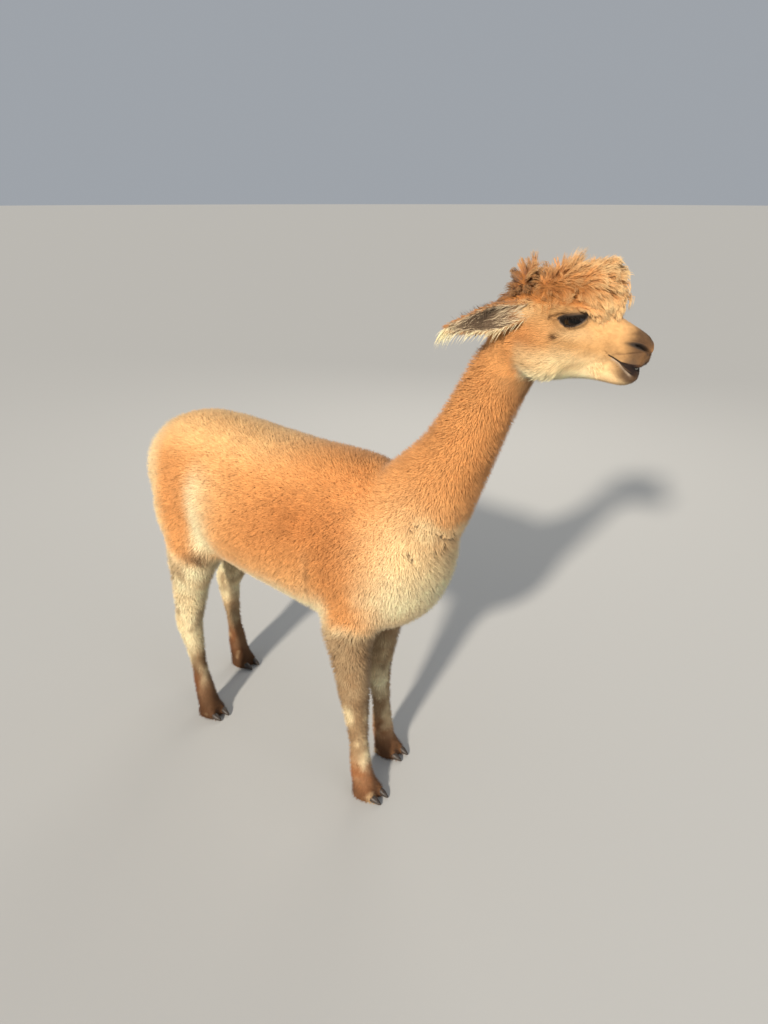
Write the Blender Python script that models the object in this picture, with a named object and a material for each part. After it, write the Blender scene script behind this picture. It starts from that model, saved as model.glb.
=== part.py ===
"""A life-size standing alpaca, freshly shorn, modelled whole and parted with thin cuts.

Metres. +X is forward, +Y the animal's left, +Z up. The tables are in the animal's own frame, and
the finished pieces are moved so that the origin is on the ground under the middle of their
bounding box. Every solid reaches to the tips of the coat.
"""
import math

import bmesh
import bpy
import numpy as np
from mathutils import Matrix, Vector

# --- Driving dimensions -------------------------------------------------------------------------
GROUND = 0.008  # height of the soles in the tables' frame
CUT = 0.0005  # width of the thin cuts that part the body
GAP = 0.0004  # clearance between a piece and the neighbour it is fitted to
VOXEL = 0.0045  # grid of the fused body
TOPKNOT_VOXEL = 0.005
RING_POINTS = 28
FLESH_TRIANGLES = 3100
TOPKNOT_TRIANGLES = 400

HEAD_ORIGIN = Vector((0.649, 0.0, 1.228))  # between the eyes, at the height of the pupils
HEAD_YAW = math.radians(3.0)  # nose to the animal's left
EYE_RADIUS = 0.0205
EYE_OFFSET = 0.0375  # of an eye's centre from the middle of the head

KNEE_HEIGHT = 0.29  # of the knees and the hocks
FETLOCK_HEIGHT = 0.092
FORE_LEG_TOP = (0.434, 0.17)  # height and width of the cut where the leg leaves the body
HIND_LEG_TOP = (0.500, 0.22)

# --- Sections: (x, y, z, half height, half width); each ring stands square to the line of centres ---
TRUNK = (
    (-0.505, 0, 0.676, 0.038, 0.032),
    (-0.489, 0, 0.687, 0.101, 0.084),
    (-0.446, 0, 0.703, 0.150, 0.127),
    (-0.376, 0, 0.717, 0.182, 0.153),
    (-0.280, 0, 0.715, 0.191, 0.170),
    (-0.150, 0, 0.697, 0.194, 0.183),
    (-0.011, 0, 0.683, 0.201, 0.185),
    (0.118, 0, 0.671, 0.213, 0.174),
    (0.222, 0, 0.670, 0.203, 0.157),
    (0.296, 0, 0.684, 0.166, 0.134),
    (0.346, 0, 0.694, 0.124, 0.103),
    (0.378, 0, 0.697, 0.078, 0.068),
    (0.390, 0, 0.698, 0.036, 0.032),
)
NECK = (
    (0.194, 0, 0.650, 0.140, 0.116),
    (0.276, 0, 0.744, 0.132, 0.108),
    (0.347, 0, 0.841, 0.106, 0.092),
    (0.400, 0, 0.921, 0.084, 0.077),
    (0.438, 0, 0.995, 0.073, 0.068),
    (0.472, 0, 1.065, 0.068, 0.062),
    (0.505, 0, 1.128, 0.064, 0.058),
    (0.538, 0, 1.175, 0.052, 0.048),
)
TAIL = (
    (-0.458, 0, 0.822, 0.022, 0.030),
    (-0.490, 0, 0.802, 0.034, 0.040),
    (-0.517, 0, 0.758, 0.036, 0.045),
    (-0.529, 0, 0.700, 0.032, 0.043),
    (-0.531, 0, 0.645, 0.025, 0.034),
    (-0.528, 0, 0.600, 0.014, 0.020),
    (-0.526, 0, 0.580, 0.003, 0.006),
)
# The legs' y is outward, and their half height is fore and aft. They run from the body to the fetlock.
FORE_LEG = (
    (0.215, 0.075, 0.640, 0.090, 0.052),
    (0.198, 0.084, 0.560, 0.088, 0.060),
    (0.178, 0.088, 0.480, 0.070, 0.056),
    (0.182, 0.090, 0.420, 0.056, 0.047),
    (0.190, 0.090, 0.350, 0.047, 0.043),
    (0.194, 0.090, 0.290, 0.043, 0.041),
    (0.200, 0.090, 0.235, 0.033, 0.033),
    (0.206, 0.090, 0.170, 0.027, 0.027),
    (0.209, 0.090, 0.110, 0.029, 0.029),
    (0.213, 0.090, 0.075, 0.029, 0.030),
)
HIND_LEG = (
    (-0.315, 0.090, 0.680, 0.125, 0.066),
    (-0.325, 0.100, 0.590, 0.106, 0.068),
    (-0.345, 0.106, 0.510, 0.076, 0.058),
    (-0.362, 0.106, 0.430, 0.055, 0.046),
    (-0.374, 0.105, 0.360, 0.045, 0.041),
    (-0.388, 0.103, 0.305, 0.045, 0.039),
    (-0.380, 0.100, 0.240, 0.033, 0.032),
    (-0.371, 0.098, 0.165, 0.025, 0.0245),
    (-0.363, 0.096, 0.110, 0.028, 0.028),
    (-0.357, 0.095, 0.075, 0.029, 0.030),
)
# A foot, from its fetlock: (x forward, y, z, half length, half width)
FOOT = (
    (-0.002, 0, 0.105, 0.023, 0.023),
    (0.000, 0, 0.080, 0.028, 0.029),
    (0.004, 0, 0.055, 0.029, 0.031),
    (0.010, 0, 0.035, 0.034, 0.034),
    (0.013, 0, 0.018, 0.036, 0.035),
    (0.014, 0, 0.000, 0.036, 0.034),
)
# Which leg, its side, and how far its foot stands from its place in the tables.
STANCE = {
    "fore_right": (FORE_LEG, -1, (0.000, 0.000)),
    "fore_left": (FORE_LEG, 1, (-0.050, -0.018)),
    "hind_right": (HIND_LEG, -1, (0.000, 0.000)),
    "hind_left": (HIND_LEG, 1, (-0.112, 0.048)),
}
# Muscles that round the body out: (centre on the left side, radii), mirrored to the right.
BODY_PAIRS = (
    ((-0.352, 0.092, 0.662), (0.108, 0.076, 0.148)),  # thigh
    ((0.198, 0.084, 0.628), (0.092, 0.070, 0.145)),  # shoulder
)

# --- Head, in its own frame: +X to the nose, origin between the eyes ------------------------------
HEAD_FRAME = Matrix.Translation(HEAD_ORIGIN) @ Matrix.Rotation(HEAD_YAW, 4, "Z")
SKULL = (
    (-0.178, 0, -0.045, 0.026, 0.026),
    (-0.155, 0, -0.040, 0.060, 0.049),
    (-0.112, 0, -0.036, 0.082, 0.062),
    (-0.060, 0, -0.033, 0.086, 0.0655),
    (-0.015, 0, -0.031, 0.077, 0.063),
    (0.020, 0, -0.033, 0.062, 0.055),
    (0.050, 0, -0.037, 0.046, 0.044),
    (0.078, 0, -0.042, 0.036, 0.0365),
    (0.098, 0, -0.048, 0.031, 0.034),
    (0.111, 0, -0.053, 0.027, 0.029),
    (0.119, 0, -0.055, 0.018, 0.020),
    (0.122, 0, -0.056, 0.008, 0.009),
)
JAW = (
    (-0.085, 0, -0.088, 0.026, 0.036),
    (-0.055, 0, -0.086, 0.034, 0.046),
    (-0.010, 0, -0.084, 0.028, 0.040),
    (0.030, 0, -0.088, 0.024, 0.031),
    (0.060, 0, -0.089, 0.024, 0.028),
    (0.082, 0, -0.092, 0.021, 0.026),
    (0.098, 0, -0.0915, 0.015, 0.021),
    (0.107, 0, -0.091, 0.006, 0.011),
)
HEAD_PAIRS = (
    ((-0.060, 0.038, -0.066), (0.052, 0.030, 0.050)),  # cheek
    ((0.004, 0.038, 0.022), (0.034, 0.026, 0.014)),  # brow
    ((0.108, 0.017, -0.047), (0.014, 0.016, 0.015)),  # nostril wing
    ((0.092, 0.018, -0.068), (0.028, 0.018, 0.014)),  # upper lip
    ((-0.001, 0.0440, 0.0105), (0.027, 0.0150, 0.0095)),  # upper lid
    ((-0.001, 0.0425, -0.0125), (0.025, 0.0145, 0.0080)),  # lower lid
)
NOSTRIL = ((0.112, 0.0305, -0.046), (0.0085, 0.0075, 0.0045))
EYE_SLIT = ((0.0013, 0.0630, -0.0012), (0.022, 0.0130, 0.0085))  # the opening between the lids

# The wool of the crown, as far as its tips: (centre, radii).
TOPKNOT = (
    ((0.010, 0, 0.047), (0.059, 0.071, 0.058)),
    ((0.040, 0, 0.040), (0.032, 0.055, 0.034)),
    ((-0.050, 0, 0.036), (0.060, 0.070, 0.050)),
    ((-0.094, 0, 0.050), (0.050, 0.063, 0.053)),
    ((-0.126, 0, 0.006), (0.040, 0.051, 0.050)),
)

MOUTH_CORNER = Vector((0.058, 0, -0.054))
LIPS_SLOPE = math.radians(27)  # the middle of the gap between the lips runs down to the front
LIPS_OPENING = math.radians(9)
JAW_BACK = Vector((-0.052, 0, -0.140))  # where the lower jaw's parting leaves the throat

TOOTH_COUNT = 6
TOOTH = (0.0042, 0.0030, 0.0036)  # width, thickness, height
TOOTH_ARC = 0.0125  # radius of the row
TEETH_FORWARD = 0.0445  # of the front of the row from the corner of the mouth

EAR_LENGTH = 0.156
EAR_RADIUS = 0.0257
EAR_WIDEST = 0.38  # where along its length an ear is widest
EAR_WALL = 0.008
EAR_WRAP = math.radians(118)  # how far the ear's rim comes round from its back, each way
EAR_ROOT = Vector((-0.080, 0.048, 0.012))
EAR_POINTS_TO = Vector((-0.866, 0.434, -0.31))  # laid back, out and a little down
EAR_OPENS_TO = Vector((0.45, 0.86, 0.10))

NAIL_LENGTH, NAIL_WIDTH, NAIL_HEIGHT = 0.032, 0.0180, 0.0205
TOE_SPREAD = 0.0175  # of a toe's middle from the foot's
TOE_TIP = 0.040  # where a nail begins, forward of the fetlock
NAIL_CLEARANCE = 0.0015  # of a nail from the ground


# --- Shapes ---------------------------------------------------------------------------------------
def clear_scene():
    for obj in list(bpy.data.objects):
        bpy.data.objects.remove(obj, do_unlink=True)


def smooth_rows(rows, between):
    """Rows of numbers, with `between` more on a Catmull-Rom curve through each pair."""
    p = np.array(rows, float)
    p = np.vstack([2 * p[0] - p[1], p, 2 * p[-1] - p[-2]])
    made = []
    for before, start, end, after in zip(p, p[1:], p[2:], p[3:]):
        for t in np.linspace(0, 1, between + 1, endpoint=False):
            square = 2 * before - 5 * start + 4 * end - after
            cube = 3 * start - before - 3 * end + after
            made.append(0.5 * (2 * start + (end - before) * t + square * t**2 + cube * t**3))
    made.append(p[-2])
    return np.array(made)


def object_from(bm, name):
    mesh = bpy.data.meshes.new(name)
    bm.to_mesh(mesh)
    bm.free()
    obj = bpy.data.objects.new(name, mesh)
    bpy.context.scene.collection.objects.link(obj)
    return obj


def skin_rings(bm, rings):
    """Faces between rings of as many points each, and a cap at either end."""
    count = len(rings[0])
    for low, high in zip(rings, rings[1:]):
        for k in range(count):
            n = (k + 1) % count
            bm.faces.new((low[k], low[n], high[n], high[k]))
    bm.faces.new(rings[0][::-1])
    bm.faces.new(rings[-1])
    bmesh.ops.recalc_face_normals(bm, faces=bm.faces)


def loft(rows, between=2, squareness=2.0, place=Matrix(), points=RING_POINTS):
    """A closed tube of elliptical rings as a new object."""
    rows = smooth_rows(rows, between)
    centres = [Vector(row[:3]) for row in rows]
    bm = bmesh.new()
    rings = []
    for i, row in enumerate(rows):
        along = (centres[min(i + 1, len(rows) - 1)] - centres[max(i - 1, 0)]).normalized()
        side = Vector((0, 1, 0))
        side = (side - along * side.dot(along)).normalized()
        dorsal = along.cross(side)
        ring = []
        for k in range(points):
            angle = 2 * math.pi * k / points
            c, s = math.cos(angle), math.sin(angle)
            high = math.copysign(abs(c) ** (2 / squareness), c) * max(row[3], 0.002)
            wide = math.copysign(abs(s) ** (2 / squareness), s) * max(row[4], 0.002)
            ring.append(bm.verts.new(place @ (centres[i] + dorsal * high + side * wide)))
        rings.append(ring)
    skin_rings(bm, rings)
    return object_from(bm, "loft")


def blob(centre, radii, place=Matrix(), segments=32):
    """An ellipsoid as a new object."""
    bm = bmesh.new()
    bmesh.ops.create_uvsphere(bm, u_segments=segments, v_segments=segments // 2, radius=1.0)
    bm.transform(place @ Matrix.Translation(centre) @ Matrix.Diagonal((*radii, 1)))
    return object_from(bm, "blob")


def both_sides(pairs, place=Matrix(), segments=32):
    made = []
    for (x, y, z), radii in pairs:
        made += [blob((x, side * y, z), radii, place, segments) for side in (-1, 1)]
    return made


def leg_rows(rows, side, shift):
    """The leg's sections, moved by shift from the knee down and by less towards the body."""
    top = rows[1][2]
    moved = []
    for x, y, z, half_length, half_width in rows:
        share = min(1.0, max(0.0, (top - z) / (top - KNEE_HEIGHT)))
        moved.append((x + share * shift[0], side * (y + share * shift[1]), z, half_length, half_width))
    return moved


def fetlock(rows, side, shift):
    return Vector((rows[-1][0] + shift[0], side * (rows[-1][1] + shift[1]), 0))


def foot_forms(rows, side, shift):
    """The pastern and pad, and two toes that part at the front."""
    place = Matrix.Translation(fetlock(rows, side, shift))
    forms = [loft(FOOT, place=place)]
    for toe in (-TOE_SPREAD, TOE_SPREAD):
        forms.append(blob((0.026, toe, 0.022), (0.030, 0.0165, 0.024), place))
    return forms


def flesh_forms():
    """Every rounded form whose union is the body without its tail, topknot, ears, eyes and nails."""
    forms = [loft(TRUNK), loft(NECK)] + both_sides(BODY_PAIRS)
    for rows, side, shift in STANCE.values():
        forms.append(loft(leg_rows(rows, side, shift)))
        forms += foot_forms(rows, side, shift)
    forms += [loft(SKULL, squareness=2.2, place=HEAD_FRAME), loft(JAW, place=HEAD_FRAME)]
    return forms + both_sides(HEAD_PAIRS, HEAD_FRAME)


# --- Joining, trimming and parting ----------------------------------------------------------------
def apply_modifiers(obj):
    graph = bpy.context.evaluated_depsgraph_get()
    mesh = bpy.data.meshes.new_from_object(obj.evaluated_get(graph))
    obj.modifiers.clear()
    obj.data = mesh


def remove(objects):
    for obj in objects:
        bpy.data.objects.remove(obj, do_unlink=True)


def join(objects, name):
    bm = bmesh.new()
    for obj in objects:
        bm.from_mesh(obj.data)
    remove(objects)
    return object_from(bm, name)


def duplicate(obj, grown_by=0.0):
    """A copy whose surface stands proud of the original's by grown_by."""
    copy = bpy.data.objects.new(obj.name + "_copy", obj.data.copy())
    bpy.context.scene.collection.objects.link(copy)
    if grown_by:
        grow = copy.modifiers.new("Grow", "DISPLACE")
        grow.mid_level = 0.0
        grow.strength = grown_by
        apply_modifiers(copy)
    return copy


def boolean(obj, other, operation="DIFFERENCE"):
    """Cuts obj by other, or unites them, and removes other."""
    modifier = obj.modifiers.new("Boolean", "BOOLEAN")
    modifier.operation = operation
    modifier.solver = "EXACT"
    modifier.object = other
    apply_modifiers(obj)
    remove([other])


def fuse(objects, name, voxel, smoothing):
    """One closed surface round overlapping forms, with the creases between them rounded."""
    obj = join(objects, name)
    remesh = obj.modifiers.new("Fuse", "REMESH")
    remesh.mode = "VOXEL"
    remesh.voxel_size = voxel
    soften = obj.modifiers.new("Soften", "SMOOTH")
    soften.factor = 0.5
    soften.iterations = smoothing
    apply_modifiers(obj)
    return obj


def weigh(obj, name, weight):
    """A vertex group with weight(position) for each vertex."""
    group = obj.vertex_groups.new(name=name)
    for vertex in obj.data.vertices:
        group.add([vertex.index], weight(vertex.co), "REPLACE")
    return name


def head_share(co):
    """1 on the head, falling to 0 a little down the neck."""
    from_head = (HEAD_FRAME.inverted() @ co - Vector((-0.02, 0, -0.03))).length
    return min(1.0, max(0.0, (0.24 - from_head) / 0.08))


def face_share(co):
    """1 round the eyes and muzzle, falling to 0 on the crown and cheeks."""
    from_face = (HEAD_FRAME.inverted() @ co - Vector((0.05, 0, -0.045))).length
    return min(1.0, max(0.0, (0.12 - from_face) / 0.05))


def foot_share(co):
    return min(1.0, max(0.0, (0.13 - co.z) / 0.05))


def detail_share(co):
    """How much finer than the trunk the facets are: most on the face, less on the crown and feet."""
    return max(face_share(co), 0.5 * head_share(co), 0.35 * foot_share(co))


def soften_body(obj, iterations):
    """Rounds the body, and spares the head and feet, where the forms are small."""
    soften = obj.modifiers.new("Soften", "SMOOTH")
    soften.factor = 0.5
    soften.iterations = iterations
    soften.vertex_group = weigh(obj, "body", lambda co: 1 - max(head_share(co), foot_share(co)))
    apply_modifiers(obj)


def thin_out(obj, triangles, spared=None):
    """Fewer triangles, and more of them kept where spared(position) is near 1."""
    thin = obj.modifiers.new("Thin", "DECIMATE")
    thin.ratio = triangles / sum(len(polygon.vertices) - 2 for polygon in obj.data.polygons)
    thin.use_collapse_triangulate = True
    if spared:
        thin.vertex_group = weigh(obj, "thin", lambda co: 1 - 0.6 * spared(co))
        thin.vertex_group_factor = 0.02
    apply_modifiers(obj)


def flatten_soles(obj):
    """Cuts everything off below the ground and closes the soles with flats."""
    bm = bmesh.new()
    bm.from_mesh(obj.data)
    every = bm.verts[:] + bm.edges[:] + bm.faces[:]
    bmesh.ops.bisect_plane(bm, geom=every, plane_co=(0, 0, GROUND), plane_no=(0, 0, 1), clear_inner=True)
    bmesh.ops.holes_fill(bm, edges=[edge for edge in bm.edges if edge.is_boundary])
    bmesh.ops.recalc_face_normals(bm, faces=bm.faces)
    bm.to_mesh(obj.data)
    bm.free()


def slab(centre, normal, size, place=Matrix()):
    """A thin plate, sized across and then along, for one cut through the body."""
    turn = Vector(normal).to_track_quat("Z", "Y").to_matrix().to_4x4()
    bm = bmesh.new()
    bmesh.ops.create_cube(bm, size=1.0)
    bm.transform(place @ Matrix.Translation(centre) @ turn @ Matrix.Diagonal((*size, CUT, 1)))
    return object_from(bm, "slab")


def body_cuts():
    """Plates that part the head, neck, trunk and legs."""
    cuts = [
        slab((0.510, 0, 1.122), (0.42, 0, 0.91), (0.30, 0.30)),  # head from neck
        slab((0.424, 0, 0.962), (0.50, 0, 0.866), (0.26, 0.26)),  # middle of the neck
        slab((0.325, 0, 0.800), (0.78, 0, 0.62), (0.44, 0.50)),  # foot of the neck
        slab((0.072, 0, 0.680), (1, 0, 0), (0.45, 0.45)),  # chest from barrel
        slab((-0.215, 0, 0.700), (1, 0, 0), (0.45, 0.45)),  # barrel from rump
    ]
    for rows, side, shift in STANCE.values():
        for height, size in leg_cuts(rows):
            cuts.append(slab(leg_centre(rows, side, shift, height), (0, 0, 1), (size, size)))
    return join(cuts, "cuts")


def leg_cuts(rows):
    """Height and width of the plates that part a leg at the body, the knee or hock, and the fetlock."""
    top = FORE_LEG_TOP if rows is FORE_LEG else HIND_LEG_TOP
    return (top, (KNEE_HEIGHT, 0.14), (FETLOCK_HEIGHT, 0.10))


def leg_centre(rows, side, shift, height):
    """The middle of a leg at a height."""
    placed = leg_rows(rows, side, shift)[::-1]
    heights = [row[2] for row in placed]
    x, y = (np.interp(height, heights, [row[axis] for row in placed]) for axis in (0, 1))
    return Vector((x, y, height))


# --- Head pieces ----------------------------------------------------------------------------------
def ear(side):
    """A spear-shaped ear, hollow in front."""
    stations, arc_points, hollow_bend = 8, 8, 0.010
    along = EAR_POINTS_TO.normalized()
    opens = (EAR_OPENS_TO - along * EAR_OPENS_TO.dot(along)).normalized()
    across = along.cross(opens)
    bm = bmesh.new()
    rings = []
    for i in range(stations):
        t = i / (stations - 1)
        if t < EAR_WIDEST:
            radius = EAR_RADIUS * (0.58 + 0.42 * t / EAR_WIDEST)
        else:
            radius = max(EAR_RADIUS * ((1 - t) / (1 - EAR_WIDEST)) ** 0.62, 0.0035)
        wall = min(EAR_WALL, radius * 0.55)
        wrap = EAR_WRAP * (1 - 0.38 * t)
        middle = EAR_ROOT + along * (EAR_LENGTH * t) + opens * (hollow_bend * math.sin(math.pi * t))
        rim = [math.pi - wrap + 2 * wrap * k / (arc_points - 1) for k in range(arc_points)]
        outside = [(radius, angle) for angle in rim]
        inside = [(radius - wall, angle) for angle in reversed(rim)]
        ring = []
        for reach, angle in outside + inside:
            point = middle + reach * (opens * math.cos(angle) * 0.72 + across * math.sin(angle))
            ring.append(bm.verts.new(HEAD_FRAME @ Vector((point.x, side * point.y, point.z))))
        rings.append(ring)
    skin_rings(bm, rings)
    return object_from(bm, "ear")


def eye(side, grown_by=0.0):
    radius = EYE_RADIUS + grown_by
    centre = (0, side * EYE_OFFSET, 0)
    return blob(centre, (radius, radius, radius), HEAD_FRAME, segments=14)


def mouth_cutter():
    """The gap between the lips, and behind it a thin cut down to the throat that frees the lower jaw."""
    reach, width = 0.09, 0.08  # past the muzzle's tip and sides
    run = (JAW_BACK - MOUTH_CORNER) * 1.1  # a little past the throat
    half_cut = Vector((-run.z, 0, run.x)).normalized() * (CUT / 2)
    lips = []
    for slope in (LIPS_SLOPE - LIPS_OPENING / 2, LIPS_SLOPE + LIPS_OPENING / 2):
        lips.append(MOUTH_CORNER + reach * Vector((math.cos(slope), 0, -math.sin(slope))))
    throat = MOUTH_CORNER + run
    profile = lips + [MOUTH_CORNER + half_cut, throat + half_cut, throat - half_cut]
    profile.append(MOUTH_CORNER - half_cut)
    bm = bmesh.new()
    rings = []
    for y in (-width, width):
        rings.append([bm.verts.new(HEAD_FRAME @ (point + Vector((0, y, 0)))) for point in profile])
    skin_rings(bm, rings)
    return object_from(bm, "mouth")


def incisors():
    """The row of lower front teeth, joined at their roots, that stands up from the lower lip."""
    width, thickness, height = TOOTH
    lower = LIPS_SLOPE + LIPS_OPENING / 2
    front = MOUTH_CORNER + TEETH_FORWARD * Vector((math.cos(lower), 0, -math.sin(lower)))
    place = HEAD_FRAME @ Matrix.Translation(front) @ Matrix.Rotation(lower, 4, "Y")
    bm = bmesh.new()
    rings = []
    steps = 2 * TOOTH_COUNT
    for k in range(steps + 1):
        angle = (k / steps - 0.5) * width * TOOTH_COUNT / TOOTH_ARC
        out = Vector((math.cos(angle), math.sin(angle), 0))
        middle = Vector((-TOOTH_ARC, 0, 0)) + out * TOOTH_ARC
        tip = height if k % 2 else height * 0.62
        ring = []
        for reach, level in ((-0.5, 0.0), (0.5, 0.0), (0.28, tip), (-0.12, tip)):
            point = middle + out * thickness * reach + Vector((0, 0, GAP + level))
            ring.append(bm.verts.new(place @ point))
        rings.append(ring)
    skin_rings(bm, rings)
    return object_from(bm, "lower_incisors")


def nail(place, toe, grown_by=0.0):
    """A wedge-shaped nail that tapers down to the ground."""
    rows = []
    for t, share in ((0.0, 0.96), (0.35, 1.0), (0.7, 0.72), (1.0, 0.22)):
        high = NAIL_HEIGHT / 2 * share * (1 - 0.25 * t)
        x = TOE_TIP + NAIL_LENGTH * t + grown_by * (2 * t - 1)
        z = GROUND + NAIL_CLEARANCE + high
        rows.append((x, toe * (1 - 0.12 * t), z, high + grown_by, NAIL_WIDTH / 2 * share + grown_by))
    return loft(rows, between=0, squareness=2.6, place=place, points=8)


# --- Pieces ---------------------------------------------------------------------------------------
def material(name, colour, roughness, metallic=0.0):
    made = bpy.data.materials.get(name) or bpy.data.materials.new(name)
    made.use_nodes = True
    shader = made.node_tree.nodes["Principled BSDF"]
    shader.inputs["Base Color"].default_value = (*colour, 1)
    shader.inputs["Roughness"].default_value = roughness
    shader.inputs["Metallic"].default_value = metallic
    return made


# Name of a piece, or its beginning: its colour and roughness. The first that fits is used.
FINISHES = (
    ("topknot", (0.52, 0.27, 0.11), 0.95),
    ("ear", (0.55, 0.36, 0.20), 0.95),
    ("eye", (0.012, 0.010, 0.010), 0.12),
    ("nail", (0.30, 0.24, 0.21), 0.55),
    ("lower_incisors", (0.80, 0.75, 0.62), 0.35),
    ("head", (0.74, 0.52, 0.31), 0.95),
    ("lower_jaw", (0.72, 0.55, 0.38), 0.95),
    ("neck", (0.62, 0.33, 0.15), 0.95),
    ("chest", (0.70, 0.45, 0.24), 0.95),
    ("foot", (0.40, 0.17, 0.06), 0.95),
    ("lower_leg", (0.66, 0.50, 0.34), 0.95),
    ("upper_leg", (0.64, 0.47, 0.30), 0.95),
    ("tail", (0.62, 0.42, 0.22), 0.95),
    ("", (0.64, 0.36, 0.17), 0.95),
)


def finish(obj, name):
    """Names a piece, and gives it a material of its own and soft shading."""
    obj.name = name
    obj.data.name = name
    colour, roughness = next(entry[1:] for entry in FINISHES if name.startswith(entry[0]))
    obj.data.materials.clear()
    obj.data.materials.append(material(name, colour, roughness))
    obj.vertex_groups.clear()
    obj.data.shade_smooth()
    obj.data.set_sharp_from_angle(angle=math.radians(50))


def flesh_labels():
    """The name of each length of the body, and a point near its middle."""
    labels = {
        "head": HEAD_FRAME @ Vector((-0.03, 0, -0.02)),
        "lower_jaw": HEAD_FRAME @ Vector((0.045, 0, -0.095)),
        "neck_upper": Vector((0.470, 0, 1.040)),
        "neck_lower": Vector((0.360, 0, 0.860)),
        "chest": Vector((0.230, 0, 0.650)),
        "barrel": Vector((-0.070, 0, 0.690)),
        "rump": Vector((-0.350, 0, 0.690)),
    }
    for leg, (rows, side, shift) in STANCE.items():
        ends = [height for height, _ in leg_cuts(rows)] + [GROUND]
        for part, high, low in zip(("upper_leg", "lower_leg", "foot"), ends, ends[1:]):
            labels[f"{part}_{leg}"] = leg_centre(rows, side, shift, (high + low) / 2)
    return labels


def part_flesh(body):
    """Makes each closed shell of the cut body an object, named after the nearest label."""
    bm = bmesh.new()
    bm.from_mesh(body.data)
    remove([body])
    labels = flesh_labels()
    unseen = set(bm.verts)
    while unseen:
        shell, front = set(), [unseen.pop()]
        while front:
            vertex = front.pop()
            shell.add(vertex)
            near = [edge.other_vert(vertex) for edge in vertex.link_edges]
            front += [other for other in near if other in unseen]
            unseen.difference_update(near)
        corners = np.array([vertex.co for vertex in shell])
        middle = Vector((corners.min(axis=0) + corners.max(axis=0)) / 2)
        name = min(labels, key=lambda label: (labels[label] - middle).length)
        del labels[name]
        copy = bm.copy()
        kept = {vertex.index for vertex in shell}
        copy.verts.ensure_lookup_table()
        gone = [vertex for vertex in copy.verts if vertex.index not in kept]
        bmesh.ops.delete(copy, geom=gone, context="VERTS")
        finish(object_from(copy, name), name)
    assert not labels, f"no shell for {sorted(labels)}"


def centre_on_ground():
    """Moves every piece so that the origin is under the middle of the whole, at the soles."""
    corners = np.array([vertex.co for obj in bpy.data.objects for vertex in obj.data.vertices])
    low, high = corners.min(axis=0), corners.max(axis=0)
    shift = Vector((-(low[0] + high[0]) / 2, -(low[1] + high[1]) / 2, -low[2]))
    for obj in bpy.data.objects:
        obj.data.transform(Matrix.Translation(shift))


def main():
    clear_scene()
    body = fuse(flesh_forms(), "body", VOXEL, smoothing=4)
    soften_body(body, iterations=40)
    thin_out(body, FLESH_TRIANGLES, spared=detail_share)
    flatten_soles(body)

    tail = loft(TAIL, between=0, points=14)
    boolean(tail, duplicate(body, GAP))
    finish(tail, "tail")

    lumps = [blob(centre, radii, HEAD_FRAME) for centre, radii in TOPKNOT]
    topknot = fuse(lumps, "topknot", TOPKNOT_VOXEL, smoothing=6)
    thin_out(topknot, TOPKNOT_TRIANGLES)
    for side, name in ((-1, "right"), (1, "left")):
        piece = ear(side)
        boolean(piece, duplicate(body, GAP))
        boolean(piece, duplicate(topknot, GAP))
        finish(piece, f"ear_{name}")
    boolean(topknot, duplicate(body, GAP))
    for side in (-1, 1):
        boolean(topknot, eye(side, GAP))
    finish(topknot, "topknot")

    for side, name in ((-1, "right"), (1, "left")):
        boolean(body, eye(side, GAP))
        finish(eye(side), f"eye_{name}")
    for cutter in both_sides((EYE_SLIT, NOSTRIL), HEAD_FRAME, segments=12):
        boolean(body, cutter)
    for leg, (rows, side, shift) in STANCE.items():
        place = Matrix.Translation(fetlock(rows, side, shift))
        for toe, name in ((TOE_SPREAD * side, "outer"), (-TOE_SPREAD * side, "inner")):
            boolean(body, nail(place, toe, GAP))
            finish(nail(place, toe), f"nail_{leg}_{name}")
    boolean(body, mouth_cutter())
    finish(incisors(), "lower_incisors")

    boolean(body, body_cuts())
    part_flesh(body)
    centre_on_ground()


main()
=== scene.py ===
"""The looks of a freshly shorn alpaca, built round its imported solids.

One skin replaces the solids of flesh and lies inside them by the depth of the coat. Over it stand
a short fleece of solid tufts, longer curved locks on the crown, ears, cheeks and tail, and the
eyes, lashes, teeth and nails. Metres, +X forward, +Y the animal's left, +Z up.
"""
import math

import bmesh
import bpy
import numpy as np
from mathutils import Matrix, Vector
from mathutils.kdtree import KDTree


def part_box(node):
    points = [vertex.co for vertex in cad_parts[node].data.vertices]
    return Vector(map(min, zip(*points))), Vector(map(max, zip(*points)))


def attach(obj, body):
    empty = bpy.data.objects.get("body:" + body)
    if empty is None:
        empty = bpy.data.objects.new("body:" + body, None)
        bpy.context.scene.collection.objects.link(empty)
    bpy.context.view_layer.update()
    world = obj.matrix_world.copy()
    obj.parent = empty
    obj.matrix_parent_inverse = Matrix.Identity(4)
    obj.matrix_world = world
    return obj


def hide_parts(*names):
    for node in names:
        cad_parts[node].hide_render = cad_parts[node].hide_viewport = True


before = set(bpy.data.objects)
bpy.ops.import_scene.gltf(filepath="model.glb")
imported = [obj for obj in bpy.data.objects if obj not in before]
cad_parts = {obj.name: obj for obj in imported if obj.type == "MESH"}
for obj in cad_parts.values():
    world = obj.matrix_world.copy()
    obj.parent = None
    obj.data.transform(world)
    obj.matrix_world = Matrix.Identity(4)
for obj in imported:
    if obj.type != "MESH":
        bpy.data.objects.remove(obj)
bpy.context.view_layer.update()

SIDES = {"right": -1, "left": 1}
LEGS = ("fore_right", "fore_left", "hind_right", "hind_left")

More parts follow.
